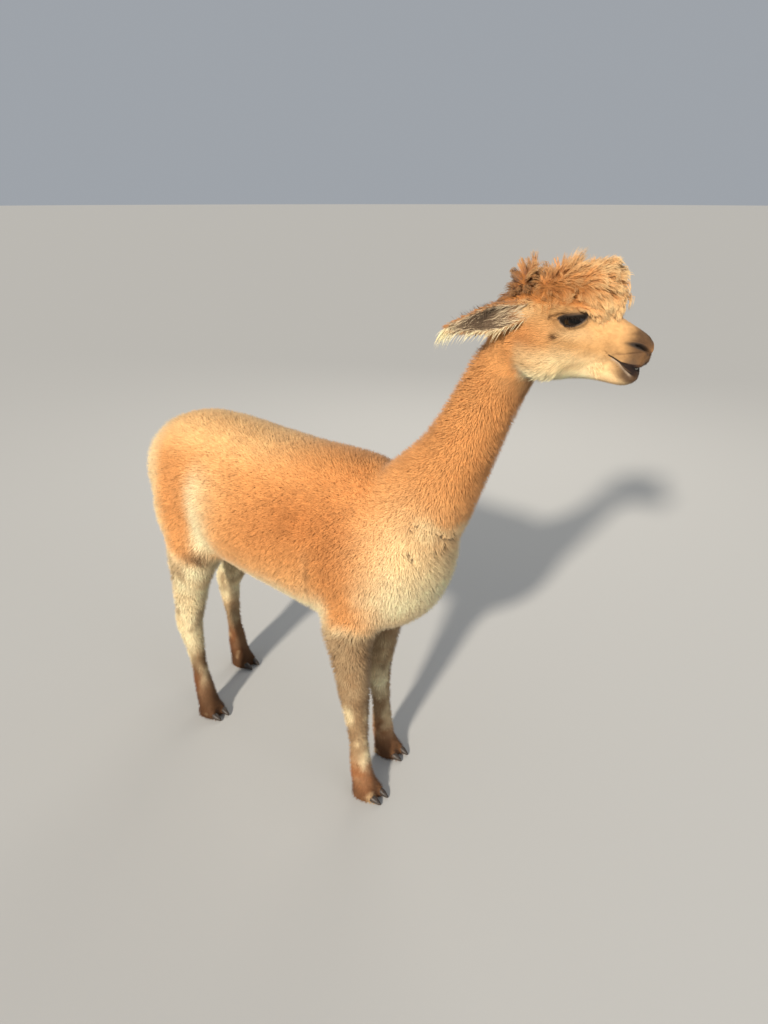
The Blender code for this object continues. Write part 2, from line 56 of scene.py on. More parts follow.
# --- Sizes ----------------------------------------------------------------------------------------
GROWN_BY = 0.0006  # closes the thin cuts between the solids of flesh
COARSE, FINE = 0.0032, 0.0022  # grids of the two passes that fuse the skin
SKIN_TRIANGLES = 150_000
LIDS_FINE, PARTINGS_FINE = (0.0016, 0.0009), 0.0040  # longest edges there, in turns
HIND_LEGS = -0.2  # x, behind which the legs are the hind ones
BACK_OF_FACE = 0.01  # behind the eyes, where the cheeks' coat meets the muzzle's

# The coat: tufts for each square metre, and their size and lean from upright, in degrees.
TRUNK_TUFTS, LEG_TUFTS, FACE_TUFTS, CROWN_LOCKS = 139_000.0, 90_000, 400_000, 405_000.0
TUFTS_UNDER_CROWN = 0.36  # share of them that stays
TUFT_WIDTH, FINER_ON_FACE = 0.0018, 0.0006
TUFT_LENGTH, LENGTH_UNDER_CROWN = 0.0160, 0.013
TRUNK_LEAN, MORE_ON_FACE, MORE_ON_LEGS, MORE_ON_MUZZLE = 29, 29, 13, 18
ROOT_SUNK = 0.0016  # of a tuft's root below the skin
LEAST_HEIGHT = 0.0003  # of any tip above the floor
CLUMPS, STAPLES = 0.020, 0.042  # one clump or staple for each of these shares of the tufts

# The eye, in the head's frame: its half sizes, and the opening between the lids.
EYE_RADII = (0.0222, 0.0205, 0.0195)
EYE_OUT = 0.0375
OPENING_MIDDLE = -0.0045
OPENING_HALF_WIDTH = 0.0225
OPENING_UP, OPENING_DOWN = 0.0030, 0.0112

EAR_LENGTH, EAR_RADIUS, EAR_WIDEST = 0.153, 0.0235, 0.38
EAR_WALL = 0.0042
EAR_WRAP = math.radians(118)
EAR_ROOT = np.array((-0.080, 0.048, 0.012))
EAR_POINTS_TO = np.array((-0.866, 0.434, -0.24))
EAR_OPENS_TO = np.array((0.45, 0.86, 0.10))

# The wool of the crown as far as its tips, in the head's frame: (centre, radii).
CROWN = (
    ((0.004, 0, 0.047), (0.058, 0.070, 0.057)),
    ((0.036, 0, 0.040), (0.031, 0.054, 0.034)),
    ((-0.030, 0, 0.051), (0.056, 0.066, 0.050)),
    ((-0.056, 0, 0.044), (0.050, 0.066, 0.047)),
    ((-0.107, 0, 0.045), (0.036, 0.058, 0.053)),
    ((-0.132, 0, 0.006), (0.038, 0.051, 0.050)),
)
CROWN_DEPTH = 0.027  # from the wool's tips to the dense wool that the skin stands for

MOUTH_CORNER = np.array((0.058, 0.0, -0.054))
LIPS_SLOPE = math.radians(27)

# The camera, from the right eye in metres, in degrees and in millimetres; the stage's floor.
CAMERA_FROM_EYE = (0.5175, -1.2706, 0.202)
CAMERA_LOOKS_DOWN, CAMERA_TURNED = 22.7, 36
CAMERA_SENSOR, CAMERA_LENS = 36, 27.04
FLOOR_RADIUS = 90
# (name, kind, place, what it points at, power, colour, size in radians or metres)
LAMPS = (
    ("sun", "SUN", (0.9, -4.0, 2.7), (0, 0, 0.75), 5.2, (1.0, 0.92, 0.80), math.radians(4)),
    ("fill", "AREA", (3.4, -0.8, 1.8), (0, 0, 0.8), 24, (0.93, 0.96, 1.0), 3.0),
    ("rim", "AREA", (-1.4, 3.2, 2.8), (0, 0, 0.9), 36, (1.0, 0.95, 0.86), 2.0),
)

# --- Colours, linear ------------------------------------------------------------------------------
FAWN = (0.74, 0.340, 0.114)
FAWN_DEEP = (0.51, 0.192, 0.053)
FAWN_PALE = (0.85, 0.510, 0.225)
CREAM = (0.88, 0.650, 0.355)
PALE_CREAM = (0.92, 0.800, 0.500)
LEG_BROWN = (0.30, 0.176, 0.084)
RUST = (0.30, 0.095, 0.025)
SPOT = (0.075, 0.030, 0.009)
FACE = (0.52, 0.285, 0.110)
BRIDGE = (0.72, 0.415, 0.180)
MUZZLE = (0.080, 0.040, 0.018)
LIP = (0.082, 0.048, 0.027)
INNER_LIP = (0.420, 0.320, 0.230)
DARK_SKIN = (0.022, 0.015, 0.011)
LID = (0.032, 0.023, 0.018)
LID_RIM = (0.150, 0.110, 0.085)
# Painted shadow inside the mouth.
MOUTH_SHADOW = (0.014, 0.006, 0.005)
LASH = (0.012, 0.008, 0.006)
EAR_BACK = (0.33, 0.150, 0.057)
EAR_INSIDE = (0.150, 0.100, 0.062)
EAR_HAIR = (0.66, 0.520, 0.340)
WOOL_ROOT = (0.30, 0.088, 0.018)
WOOL = (0.60, 0.228, 0.057)
WOOL_TIP = (0.95, 0.680, 0.340)


# --- Numbers --------------------------------------------------------------------------------------
def unit(vectors):
    return vectors / np.maximum(np.linalg.norm(vectors, axis=-1, keepdims=True), 1e-12)


def ramp(low, high, values):
    """0 below low, 1 above high, and smooth between."""
    t = np.clip((values - low) / (high - low), 0, 1)
    return t * t * (3 - 2 * t)


def hump(values, width):
    return np.exp(-((values / width) ** 2))


def ball(points, centre, radii):
    """1 at the centre of an ellipsoid, fading out past its surface."""
    return np.exp(-(((points - np.array(centre)) / np.array(radii)) ** 2).sum(axis=1))


def lattice(cells, seed):
    """A repeatable number from 0 to 1 for each whole-numbered cell."""
    x, y, z = (cells[:, axis].astype(np.int64) for axis in range(3))
    h = (x * 73856093) ^ (y * 19349663) ^ (z * 83492791) ^ (seed * 374761393)
    h = ((h ^ (h >> 13)) * 1274126177) & 0x7FFFFFFF
    return ((h ^ (h >> 16)) & 0xFFFF) / 65535.0


def noise(points, size, seed=0):
    """Smooth noise from -1 to 1 whose lumps are about size across."""
    scaled = points / size + 1000.0
    cell = np.floor(scaled).astype(np.int64)
    t = scaled - cell
    t = t * t * (3 - 2 * t)
    total = np.zeros(len(points))
    for dx in (0, 1):
        for dy in (0, 1):
            for dz in (0, 1):
                share = (t[:, 0] if dx else 1 - t[:, 0]) * (t[:, 1] if dy else 1 - t[:, 1])
                share = share * (t[:, 2] if dz else 1 - t[:, 2])
                total += share * lattice(cell + np.array((dx, dy, dz)), seed)
    return total * 2 - 1


def noise_vector(points, size, seed=0):
    return np.stack([noise(points, size, seed + 17 * axis) for axis in range(3)], axis=1)


def tangent(directions, normals):
    """Directions laid flat on the surface with these normals."""
    flat = directions - normals * (directions * normals).sum(axis=1, keepdims=True)
    return unit(flat)


def mix(colours, target, share):
    """Paints colours towards a target by a share for each point."""
    share = np.clip(share, 0, 1)[:, None]
    return colours * (1 - share) + np.array(target) * share


def plain(colour, count):
    """The same colour for each of many points."""
    return np.tile(np.array(colour), (count, 1))


def nearest_to(places, points):
    """The number of the place that lies nearest to each point."""
    tree = KDTree(len(places))
    for k, place in enumerate(places.tolist()):
        tree.insert(place, k)
    tree.balance()
    return np.array([tree.find(point)[1] for point in points.tolist()])


# --- Places, read from the frame ------------------------------------------------------------------
def middle(node):
    low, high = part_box(node)
    return np.array((low + high) / 2)


HEAD_ORIGIN = (middle("eye_right") + middle("eye_left")) / 2
HEAD_LEFT = unit(middle("eye_left") - middle("eye_right"))
HEAD_AXES = np.array((np.cross(HEAD_LEFT, (0, 0, 1)), HEAD_LEFT, (0, 0, 1)))
FEET = {leg: middle(f"foot_{leg}") for leg in LEGS}


def to_head(points):
    return (points - HEAD_ORIGIN) @ HEAD_AXES.T


def from_head(points):
    return HEAD_ORIGIN + points @ HEAD_AXES


def folded(points):
    """Points with the right half laid on the left."""
    return points * np.array((1, 0, 1)) + np.abs(points[:, 1:2]) * np.array((0, 1, 0))


def leg_share(points):
    """1 on the legs, falling to 0 where they join the body, which is lower on the fore legs."""
    top = np.where(points[:, 0] < HIND_LEGS, 0.52, 0.44)
    return 1 - ramp(-0.05, 0.03, points[:, 2] - top)


def head_share(points):
    """1 on the head, falling to 0 a little down the neck."""
    from_skull = np.linalg.norm(to_head(points) - np.array((-0.02, 0, -0.03)), axis=1)
    return 1 - ramp(0.13, 0.18, from_skull)


def mouth_levels(head_points):
    """How far along the lips from their corner, and how far above the middle of their gap."""
    from_corner = head_points - MOUTH_CORNER
    cos, sin = math.cos(LIPS_SLOPE), math.sin(LIPS_SLOPE)
    along = from_corner[:, 0] * cos - from_corner[:, 2] * sin
    above = from_corner[:, 0] * sin + from_corner[:, 2] * cos
    return along, above


def lid_level(from_middle):
    """The height of the line between the eye's corners."""
    return 0.0027 + 0.18 * from_middle


def lid_distance(head_points):
    """Distance outside the opening between the lids, less than 0 inside it, and whether above."""
    x = head_points[:, 0] - OPENING_MIDDLE
    z = head_points[:, 2] - lid_level(x)
    high = np.where(z > 0, OPENING_UP, OPENING_DOWN)
    level = np.sqrt((x / OPENING_HALF_WIDTH) ** 2 + (z / high) ** 2) + 1e-6
    slope = np.sqrt((x / OPENING_HALF_WIDTH**2) ** 2 + (z / high**2) ** 2) / level
    return (level - 1) / np.maximum(slope, 1 / OPENING_HALF_WIDTH), z > 0


# --- Meshes ---------------------------------------------------------------------------------------
def placed(name, data):
    """A new object in the scene."""
    obj = bpy.data.objects.new(name, data)
    bpy.context.scene.collection.objects.link(obj)
    return obj


def move_points(mesh, points):
    mesh.vertices.foreach_set("co", np.asarray(points, np.float32).ravel())


def paint_points(mesh, colours):
    """Stores each point's colour in the attribute that the materials read."""
    paint = mesh.color_attributes.new("coat", "FLOAT_COLOR", "POINT")
    rgba = np.ones((len(colours), 4), np.float32)
    rgba[:, :3] = colours
    paint.data.foreach_set("color", rgba.ravel())


def object_from(name, points, faces):
    mesh = bpy.data.meshes.new(name)
    faces = np.asarray(faces, np.int32)
    sides = faces.shape[1]
    mesh.vertices.add(len(points))
    move_points(mesh, points)
    mesh.loops.add(faces.size)
    mesh.loops.foreach_set("vertex_index", faces.ravel())
    mesh.polygons.add(len(faces))
    mesh.polygons.foreach_set("loop_start", np.arange(0, faces.size, sides, dtype=np.int32))
    mesh.update(calc_edges=True)
    mesh.validate()
    return placed(name, mesh)


def evaluated(obj):
    """Applies an object's modifiers."""
    graph = bpy.context.evaluated_depsgraph_get()
    mesh = bpy.data.meshes.new_from_object(obj.evaluated_get(graph))
    obj.modifiers.clear()
    obj.data = mesh


def points_of(mesh):
    flat = np.empty(len(mesh.vertices) * 3, np.float32)
    mesh.vertices.foreach_get("co", flat)
    return flat.reshape(-1, 3).astype(float)


def triangles_of(mesh):
    mesh.calc_loop_triangles()
    flat = np.empty(len(mesh.loop_triangles) * 3, np.int32)
    mesh.loop_triangles.foreach_get("vertices", flat)
    return flat.reshape(-1, 3)


def edges_of(mesh):
    flat = np.empty(len(mesh.edges) * 2, np.int32)
    mesh.edges.foreach_get("vertices", flat)
    return flat.reshape(-1, 2)


def vertex_normals(points, triangles):
    a, b, c = (points[triangles[:, k]] for k in range(3))
    face = np.cross(b - a, c - a)
    total = np.zeros_like(points)
    for k in range(3):
        for axis in range(3):
            total[:, axis] += np.bincount(triangles[:, k], face[:, axis], len(points))
    return unit(total)


def relax(points, edges, weight, rounds):
    """Moves each point towards the middle of its neighbours, by its weight, several times."""
    first, second = edges[:, 0], edges[:, 1]
    count = np.maximum(np.bincount(edges.ravel(), minlength=len(points)), 1)
    for _ in range(rounds):
        total = np.empty_like(points)
        for axis in range(points.shape[1]):
            values = points[:, axis]
            total[:, axis] = np.bincount(first, values[second], len(points))
            total[:, axis] += np.bincount(second, values[first], len(points))
        points = points + weight[:, None] * (total / count[:, None] - points)
    return points


def remove(obj):
    bpy.data.objects.remove(obj, do_unlink=True)


def absorb(bm, part):
    """Adds one bmesh to another and frees it."""
    mesh = bpy.data.meshes.new("part")
    part.to_mesh(mesh)
    part.free()
    bm.from_mesh(mesh)
    bpy.data.meshes.remove(mesh)


def grown_solid(bm, node, grown_by):
    """Adds a CAD solid to bm, closed along its sharp edges and grown."""
    part = bmesh.new()
    part.from_mesh(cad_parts[node].data)
    bmesh.ops.remove_doubles(part, verts=part.verts, dist=0.00001)
    part.normal_update()
    for vertex, normal in [(vertex, vertex.normal.copy()) for vertex in part.verts]:
        vertex.co += normal * grown_by
    absorb(bm, part)


def voxel_object(bm, name, voxel):
    """One closed surface round everything in bm."""
    mesh = bpy.data.meshes.new(name)
    bm.to_mesh(mesh)
    bm.free()
    obj = placed(name, mesh)
    remesh = obj.modifiers.new("Fuse", "REMESH")
    remesh.mode = "VOXEL"
    remesh.voxel_size = voxel
    evaluated(obj)
    return obj


# --- Skin -----------------------------------------------------------------------------------------
FLESH = ["head", "lower_jaw", "neck_upper", "neck_lower", "chest", "barrel", "rump", "tail"]
FLESH += [f"{part}_{leg}" for leg in LEGS for part in ("upper_leg", "lower_leg", "foot")]
NAILS = [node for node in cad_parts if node.startswith("nail_")]


def coat_depth(points):
    """How far the skin lies under the tips of the coat."""
    depth = np.full(len(points), 0.0125)
    depth += (0.0065 - depth) * leg_share(points)
    low_leg = 1 - ramp(0.10, 0.30, points[:, 2])
    depth += (0.0040 - depth) * low_leg
    depth *= ramp(0.001, 0.012, points[:, 2])
    head = to_head(points)
    face = head_share(points)
    depth += (0.0062 - depth) * face
    muzzle = ramp(0.02, 0.085, head[:, 0]) * face
    depth += (0.0018 - depth) * muzzle
    return depth


def ear_axes(side):
    """Root, direction, opening and width direction of an ear, in the head's frame."""
    mirror = np.array((1, side, 1))
    along = unit(EAR_POINTS_TO)
    opens = unit(EAR_OPENS_TO - along * (EAR_OPENS_TO @ along))
    across = np.cross(along, opens)
    return EAR_ROOT * mirror, along * mirror, opens * mirror, across * mirror


def ear_point(side, t, angle, inside=0.0):
    """Points on an ear's outer surface, or inside it, t from root to tip and angle from its opening."""
    root, along, opens, across = ear_axes(side)
    base = EAR_RADIUS * (0.58 + 0.42 * np.clip(t, 0, 1) / EAR_WIDEST)
    tip = EAR_RADIUS * (np.clip(1 - t, 0, 1) / (1 - EAR_WIDEST)) ** 0.62
    radius = np.maximum(np.where(t < EAR_WIDEST, base, tip), 0.0030)
    radius = radius - np.minimum(inside, radius * 0.6)
    middle_line = root + along * (EAR_LENGTH * t)[:, None]
    middle_line = middle_line + opens * (0.010 * np.sin(math.pi * np.clip(t, 0, 1)))[:, None]
    reach = opens * (np.cos(angle) * 0.72)[:, None] + across * np.sin(angle)[:, None]
    return middle_line + reach * radius[:, None]


def ear_wrap(t):
    return EAR_WRAP * (1 - 0.38 * np.clip(t, 0, 1))


def add_ear(bm, side):
    """A hollow spear whose root runs on into the skull."""
    stations, arc = 28, 14
    part = bmesh.new()
    rings = []
    for t in np.linspace(-0.16, 0.985, stations):
        wrap = ear_wrap(t)
        angles = np.linspace(math.pi - wrap, math.pi + wrap, arc)
        spots = np.full(arc, t)
        outer = ear_point(side, spots, angles)
        inner = ear_point(side, spots, angles[::-1], EAR_WALL)
        rings.append([part.verts.new(p) for p in from_head(np.vstack((outer, inner)))])
    faces = []
    for low, high in zip(rings, rings[1:]):
        for k in range(len(low)):
            n = (k + 1) % len(low)
            faces.append(part.faces.new((low[k], low[n], high[n], high[k])))
    faces += [part.faces.new(rings[0][::-1]), part.faces.new(rings[-1])]
    bmesh.ops.recalc_face_normals(part, faces=faces)
    absorb(bm, part)


def add_crown(bm):
    """The dense wool of the crown, inside its tips."""
    turn = Matrix(HEAD_AXES).transposed().to_4x4()
    place = Matrix.Translation(HEAD_ORIGIN) @ turn
    for centre, radii in CROWN:
        inner = [radius - CROWN_DEPTH for radius in radii]
        matrix = place @ Matrix.Translation(centre) @ Matrix.Diagonal((*inner, 1))
        part = bmesh.new()
        bmesh.ops.create_uvsphere(part, u_segments=32, v_segments=16, radius=1.0, matrix=matrix)
        absorb(bm, part)


def fused_skin():
    """The solids of flesh fused, laid inside by the coat's depth, with ears and crown added."""
    bm = bmesh.new()
    for node in FLESH + ["eye_right", "eye_left"] + NAILS:
        grown_solid(bm, node, GROWN_BY)
    obj = voxel_object(bm, "flesh", COARSE)
    points, edges = points_of(obj.data), edges_of(obj.data)
    spared = np.maximum(head_share(points), 1 - ramp(0.06, 0.16, points[:, 2]))
    points = relax(points, edges, 0.5 * (1 - 0.75 * spared), 30)
    normals = vertex_normals(points, triangles_of(obj.data))
    depth = relax(coat_depth(points)[:, None], edges, np.full(len(points), 0.5), 20)
    points = points - normals * depth
    move_points(obj.data, points)
    bm = bmesh.new()
    bm.from_mesh(obj.data)
    remove(obj)
    add_crown(bm)
    for side in SIDES.values():
        add_ear(bm, side)
    obj = voxel_object(bm, "skin", FINE)
    points, edges = points_of(obj.data), edges_of(obj.data)
    points = relax(points, edges, 0.5 * (1 - 0.3 * head_share(points)), 8)
    points[:, 2] = np.maximum(points[:, 2] - 0.0012 * (1 - ramp(0, 0.01, points[:, 2])), 0.0002)
    move_points(obj.data, points)
    return obj


def detail_share(points):
    """How much finer than on the trunk the skin's facets are."""
    head = to_head(points)
    face = 1 - ramp(0.075, 0.13, np.linalg.norm(head - np.array((0.05, 0, -0.045)), axis=1))
    feet = 0.4 * (1 - ramp(0.06, 0.12, points[:, 2]))
    return np.maximum(np.maximum(face, 0.7 * head_share(points)), feet)


def thin_out(obj, triangles):
    """Fewer facets, most of all on the trunk."""
    group = obj.vertex_groups.new(name="thin")
    weights = 1 - 0.85 * detail_share(points_of(obj.data))
    for index, weight in enumerate(weights.tolist()):
        group.add((index,), weight, "REPLACE")
    thin = obj.modifiers.new("Thin", "DECIMATE")
    thin.ratio = triangles / (2 * len(obj.data.polygons))
    thin.use_collapse_triangulate = True
    thin.vertex_group = "thin"
    thin.vertex_group_factor = 0.05
    evaluated(obj)
    obj.vertex_groups.clear()


def eye_distance(head_points):
    """How far each point of the skin lies from the opening between the lids, on the head's sides."""
    out, _ = lid_distance(folded(head_points))
    side_on = (np.abs(head_points[:, 1]) > 0.030) & (np.abs(head_points[:, 0]) < 0.05)
    return np.where(side_on & (np.abs(head_points[:, 2]) < 0.045), out, 1.0)


def refine(obj, wanted, longest):
    """Splits edges longer than `longest` where wanted(middle of the edge) is true."""
    points, edges = points_of(obj.data), edges_of(obj.data)
    ends = points[edges[:, 0]], points[edges[:, 1]]
    long_ones = np.linalg.norm(ends[0] - ends[1], axis=1) > longest
    chosen = np.flatnonzero(long_ones & wanted((ends[0] + ends[1]) / 2))
    bm = bmesh.new()
    bm.from_mesh(obj.data)
    bm.edges.ensure_lookup_table()
    bmesh.ops.subdivide_edges(bm, edges=[bm.edges[i] for i in chosen], cuts=1)
    bmesh.ops.triangulate(bm, faces=bm.faces)
    bm.to_mesh(obj.data)
    bm.free()


def near_lids(points):
    out = eye_distance(to_head(points))
    return (out < 0.011) & (out > -0.004)


def near_muzzle(points):
    head = folded(to_head(points))
    nostril = np.linalg.norm(head - NOSTRIL_CENTRE, axis=1) < 0.024
    along, above = mouth_levels(head)
    lips = (along > -0.008) & (np.abs(above) < 0.010) & (head[:, 0] < 0.13)
    return (nostril | lips) & (head_share(points) > 0.5)


def near_partings(points):
    ahead, folds = flank_fold(points)
    in_fold = (folds > 0.3) & (np.abs(ahead) < 0.015)
    return (parting(points, 0.008) > 0.1) | in_fold


NOSTRIL_CENTRE = np.array((0.1125, 0.0207, -0.0418))
NOSTRIL_ALONG = unit(np.array((0.63, -0.61, -0.48)))
NOSTRIL_OUT = unit(np.array((0.60, 0.78, 0.10)))
NOSTRIL_ACROSS = np.cross(NOSTRIL_ALONG, NOSTRIL_OUT)
NOSTRIL_HALF_LENGTH, NOSTRIL_HALF_WIDTH = 0.0168, 0.0033
WING_GROOVE = ((0.123, 0.008, -0.054), (0.006, 0.009, 0.004))  # centre and radii, below the nostril


def nostril_level(head_points):
    """About 0 along the middle of a nostril and 1 at its rim; and how far across from its middle."""
    from_middle = folded(head_points) - NOSTRIL_CENTRE
    along = from_middle @ NOSTRIL_ALONG
    across = from_middle @ NOSTRIL_ACROSS + 7.0 * along**2 - 0.0010
    depth = np.abs(from_middle @ NOSTRIL_OUT)
    level = np.sqrt((along / NOSTRIL_HALF_LENGTH) ** 2 + (across / NOSTRIL_HALF_WIDTH) ** 2)
    return level + np.where(depth > 0.020, 9.0, 0.0), across


def eyeball_out(head_points):
    """How far out from the middle of the head the eyeball's surface lies."""
    flat = (head_points[:, 0] / EYE_RADII[0]) ** 2 + (head_points[:, 2] / EYE_RADII[2]) ** 2
    return EYE_OUT + EYE_RADII[1] * np.sqrt(np.maximum(1 - flat, 0.04))


def sculpt_lids(head):
    """Wraps the skin round the eyeball: a rim to each lid, a fold above and two below."""
    sign = np.where(head[:, 1] < 0, -1.0, 1.0)
    out, above = lid_distance(folded(head))
    reach = np.abs(head[:, 1])
    near_eye = (reach > 0.028) & (np.abs(head[:, 0]) < 0.046) & (np.abs(head[:, 2]) < 0.040)
    thick = np.where(above, 0.0030, 0.0018)
    lid = eyeball_out(head) + 0.0003 + thick * ramp(0.0, 0.0014, out)
    lid -= 0.0045 * ramp(0.0, 0.0012, -out)
    lid -= np.where(above, 0.0015 * hump(out - 0.0062, 0.0014), 0.0)
    lid += np.where(above, 0.0022 * hump(out - 0.0105, 0.0035), 0.0)
    lid -= np.where(above, 0.0, 0.0008 * hump(out - 0.0042, 0.0009))
    lid -= np.where(above, 0.0, 0.0006 * hump(out - 0.0080, 0.0012))
    share = np.where(near_eye, 1 - ramp(0.0035, 0.0150, out), 0.0)
    head[:, 1] = sign * (reach + (lid - reach) * share)
    return head


def lip_crease(head_points):
    """1 along the crease above the upper lip, from the corner of the mouth to the nose."""
    x, z = head_points[:, 0], head_points[:, 2]
    line = hump(z + 0.051 - 0.12 * (x - 0.082), 0.0014)
    return line * ramp(0.066, 0.074, x) * (1 - ramp(0.108, 0.120, x))


def gape_half(along):
    """Half the height of the mouth's opening: a line by the corner, open in front."""
    return 0.0012 + 0.020 * np.clip(along, 0, 0.06) + 0.35 * np.clip(along - 0.024, 0, 0.04)


def sculpt_muzzle(head, normals):
    """Nostrils, the upper lip's cleft, the lips and their creases, and the furrow below the eye."""
    level, across = nostril_level(head)
    pit = 1 - ramp(0.60, 1.10, level)
    rim = hump(level - 1.7, 0.55) * np.where(across > 0, 1.0, 0.45)
    wing_groove = 0.0022 * ball(folded(head), *WING_GROOVE)
    head = head - normals * (0.0105 * pit - 0.0020 * rim + wing_groove)[:, None]
    along, above = mouth_levels(head)
    cleft = hump(head[:, 1], 0.0016) * ramp(0.105, 0.114, head[:, 0]) * ramp(0.0, 0.003, above)
    cleft *= 1 - ramp(-0.046, -0.036, head[:, 2])
    head = head - normals * (0.0022 * cleft)[:, None]
    closing = np.clip(np.abs(above) - 0.0003, 0, 0.0060) * (1 - ramp(0.022, 0.042, along))
    closing *= ramp(-0.004, 0.002, along) * hump(above, 0.0110)
    upward = np.array((math.sin(LIPS_SLOPE), 0.0, math.cos(LIPS_SLOPE)))
    head = head - upward * (np.sign(above) * closing)[:, None]
    edge = hump(np.abs(above) - 0.0065, 0.0028) * ramp(0.004, 0.018, along)
    edge *= ramp(0.0, 0.004, np.abs(head[:, 1]) - 0.004)
    head = head + normals * (0.0010 * edge)[:, None]
    crease = hump(above + 0.25 * along, 0.0016) * ramp(-0.012, -0.004, along)
    crease = crease * (1 - ramp(-0.001, 0.006, along))
    head = head - normals * (0.0016 * crease * ramp(0.012, 0.02, np.abs(head[:, 1])))[:, None]
    head = head - normals * (0.0011 * lip_crease(head))[:, None]
    tear = np.abs(head[:, 2] + 0.006 + 0.62 * (head[:, 0] - 0.021))
    furrow = hump(tear, 0.0035) * ramp(0.020, 0.026, head[:, 0])
    furrow = furrow * (1 - ramp(0.038, 0.060, head[:, 0]))
    return head - normals * (0.0016 * furrow)[:, None]


def sculpt_body(points, normals):
    """The partings' grooves, the fold behind the elbow, and the lumps of the wool."""
    ahead, folds = flank_fold(points)
    change = -0.0030 * parting(points, 0.001)
    change += (0.0020 * hump(ahead + 0.011, 0.010) - 0.0045 * hump(ahead, 0.005)) * folds
    lumps = 0.0010 * noise(points, 0.035, 5) * (1 - head_share(points)) * ramp(0.05, 0.15, points[:, 2])
    woolly = hump(points[:, 2] - 0.33, 0.09) * leg_share(points)
    lumps += 0.0022 * woolly * noise(points, 0.018, 6)
    return points + normals * (change + lumps)[:, None]


def make_skin():
    """The sculpted skin: its object, points, triangles and normals."""
    obj = fused_skin()
    thin_out(obj, SKIN_TRIANGLES)
    for longest in LIDS_FINE:
        refine(obj, near_lids, longest)
        refine(obj, near_muzzle, longest)
    refine(obj, near_partings, PARTINGS_FINE)
    points, triangles = points_of(obj.data), triangles_of(obj.data)
    normals = vertex_normals(points, triangles)
    points = sculpt_body(points, normals)
    on_head = head_share(points) > 0.05
    head = to_head(points[on_head])
    head = sculpt_muzzle(head, normals[on_head] @ HEAD_AXES.T)
    head = sculpt_lids(head)
    points[on_head] = from_head(head)
    move_points(obj.data, points)
    obj.data.update()
    obj.data.shade_smooth()
    return obj, points, triangles, vertex_normals(points, triangles)


# --- Markings and painted shade and light: the same for the skin and its coat ---------------------
# Round patches: (colour, share, centre, radii); those of the body and the face are on both sides.
BODY_DABS = (
    (FAWN_DEEP, 0.30, (-0.43, 0.16, 0.71), (0.06, 0.10, 0.10)),
    (FAWN_DEEP, 0.95, (-0.02, 0.16, 0.745), (0.12, 0.10, 0.075)),
    (FAWN_DEEP, 0.75, (0.075, 0.15, 0.70), (0.060, 0.10, 0.15)),
    (FAWN_DEEP, 0.45, (-0.13, 0.18, 0.68), (0.10, 0.10, 0.09)),
)
CHEEK_DABS = (
    (FAWN, 0.60, (-0.055, 0.064, -0.030), (0.030, 0.03, 0.024)),
    (FAWN_DEEP, 0.70, (-0.087, 0.062, -0.036), (0.028, 0.03, 0.034)),
)
PALE_DABS = (
    (CREAM, 0.40, (-0.084, 0.060, 0.010), (0.016, 0.03, 0.013)),
    (CREAM, 0.35, (0.002, 0.06, -0.022), (0.030, 0.03, 0.012)),
)


def dabbed(colour, points, dabs):
    for target, share, centre, radii in dabs:
        colour = mix(colour, target, share * ball(points, centre, radii))
    return colour


def body_colour(points):
    """Fawn, deeper on shoulder and thigh, pale on the rump, breast, belly and groins, and paler on top
    of the back and rump, partly a painted highlight.
    """
    x, y, z = points.T
    flank = np.abs(y)
    mirrored = folded(points)
    mottle = noise(points, 0.045, 11)
    colour = plain(FAWN, len(points))
    colour = mix(colour, FAWN_DEEP, 0.15 * ramp(0.80, 0.95, z) * ramp(-0.05, 0.10, x))
    colour = dabbed(colour, mirrored, BODY_DABS)
    # Paler along the top of the back and rump: partly a painted highlight where the light falls on top.
    colour = mix(colour, FAWN_PALE, ramp(0.79, 0.87, z) * (1 - ramp(-0.24, 0.02, x)))
    upper_flank = ball(mirrored, (-0.30, 0.17, 0.76), (0.07, 0.12, 0.10))
    colour = mix(colour, FAWN_PALE, 0.40 * upper_flank)
    low_flank = hump(z - 0.590, 0.040) * ramp(-0.34, -0.28, x) * (1 - ramp(-0.02, 0.05, x))
    colour = mix(colour, FAWN_PALE, 0.35 * low_flank)
    behind = 1 - ramp(-0.555, -0.470, x + 0.22 * (z - 0.72))
    colour = mix(colour, CREAM, 0.90 * behind * ramp(0.45, 0.60, z))
    # The pale band in the groove between flank and thigh
    groove = x + 0.357 + 0.10 * np.clip(0.66 - z, 0, 1) + 0.006 * mottle
    band = hump(groove, 0.026 + 0.028 * (groove > 0)) * ramp(0.50, 0.60, z)
    band = band * (1 - ramp(0.74, 0.83, z))
    lower = 1 - ramp(0.60, 0.76, z)
    colour = mix(colour, PALE_CREAM, (0.62 + 0.33 * lower) * band * ramp(0.10, 0.13, flank))
    # Breast, belly and the inside of the thighs
    breast = ball(mirrored, (0.235, 0.08, 0.69), (0.085, 0.14, 0.11))
    colour = mix(colour, CREAM, 0.85 * breast)
    front = ramp(0.16, 0.25, x)
    colour = mix(colour, CREAM, 0.80 * front * (1 - ramp(0.70, 0.80, z + 0.1 * mottle)))
    brisket = ramp(0.09, 0.23, x + 0.015 * mottle) * (1 - ramp(0.58, 0.70, z))
    colour = mix(colour, PALE_CREAM, 0.85 * brisket)
    belly = (1 - ramp(0.515, 0.605, z + 0.012 * mottle)) * (1 - ramp(0.02, 0.07, x))
    belly = belly * ramp(-0.36, -0.30, x)
    colour = mix(colour, PALE_CREAM, 0.80 * belly)
    inner = (1 - ramp(0.05, 0.09, flank)) * (1 - ramp(0.50, 0.62, z))
    colour = mix(colour, CREAM, 0.8 * inner)
    ahead, folds = flank_fold(points)
    lit_edge = 0.12 * hump(ahead + 0.010, 0.012) * folds * ramp(-0.6, 0.4, mottle)
    return mix(colour, CREAM, lit_edge), mottle


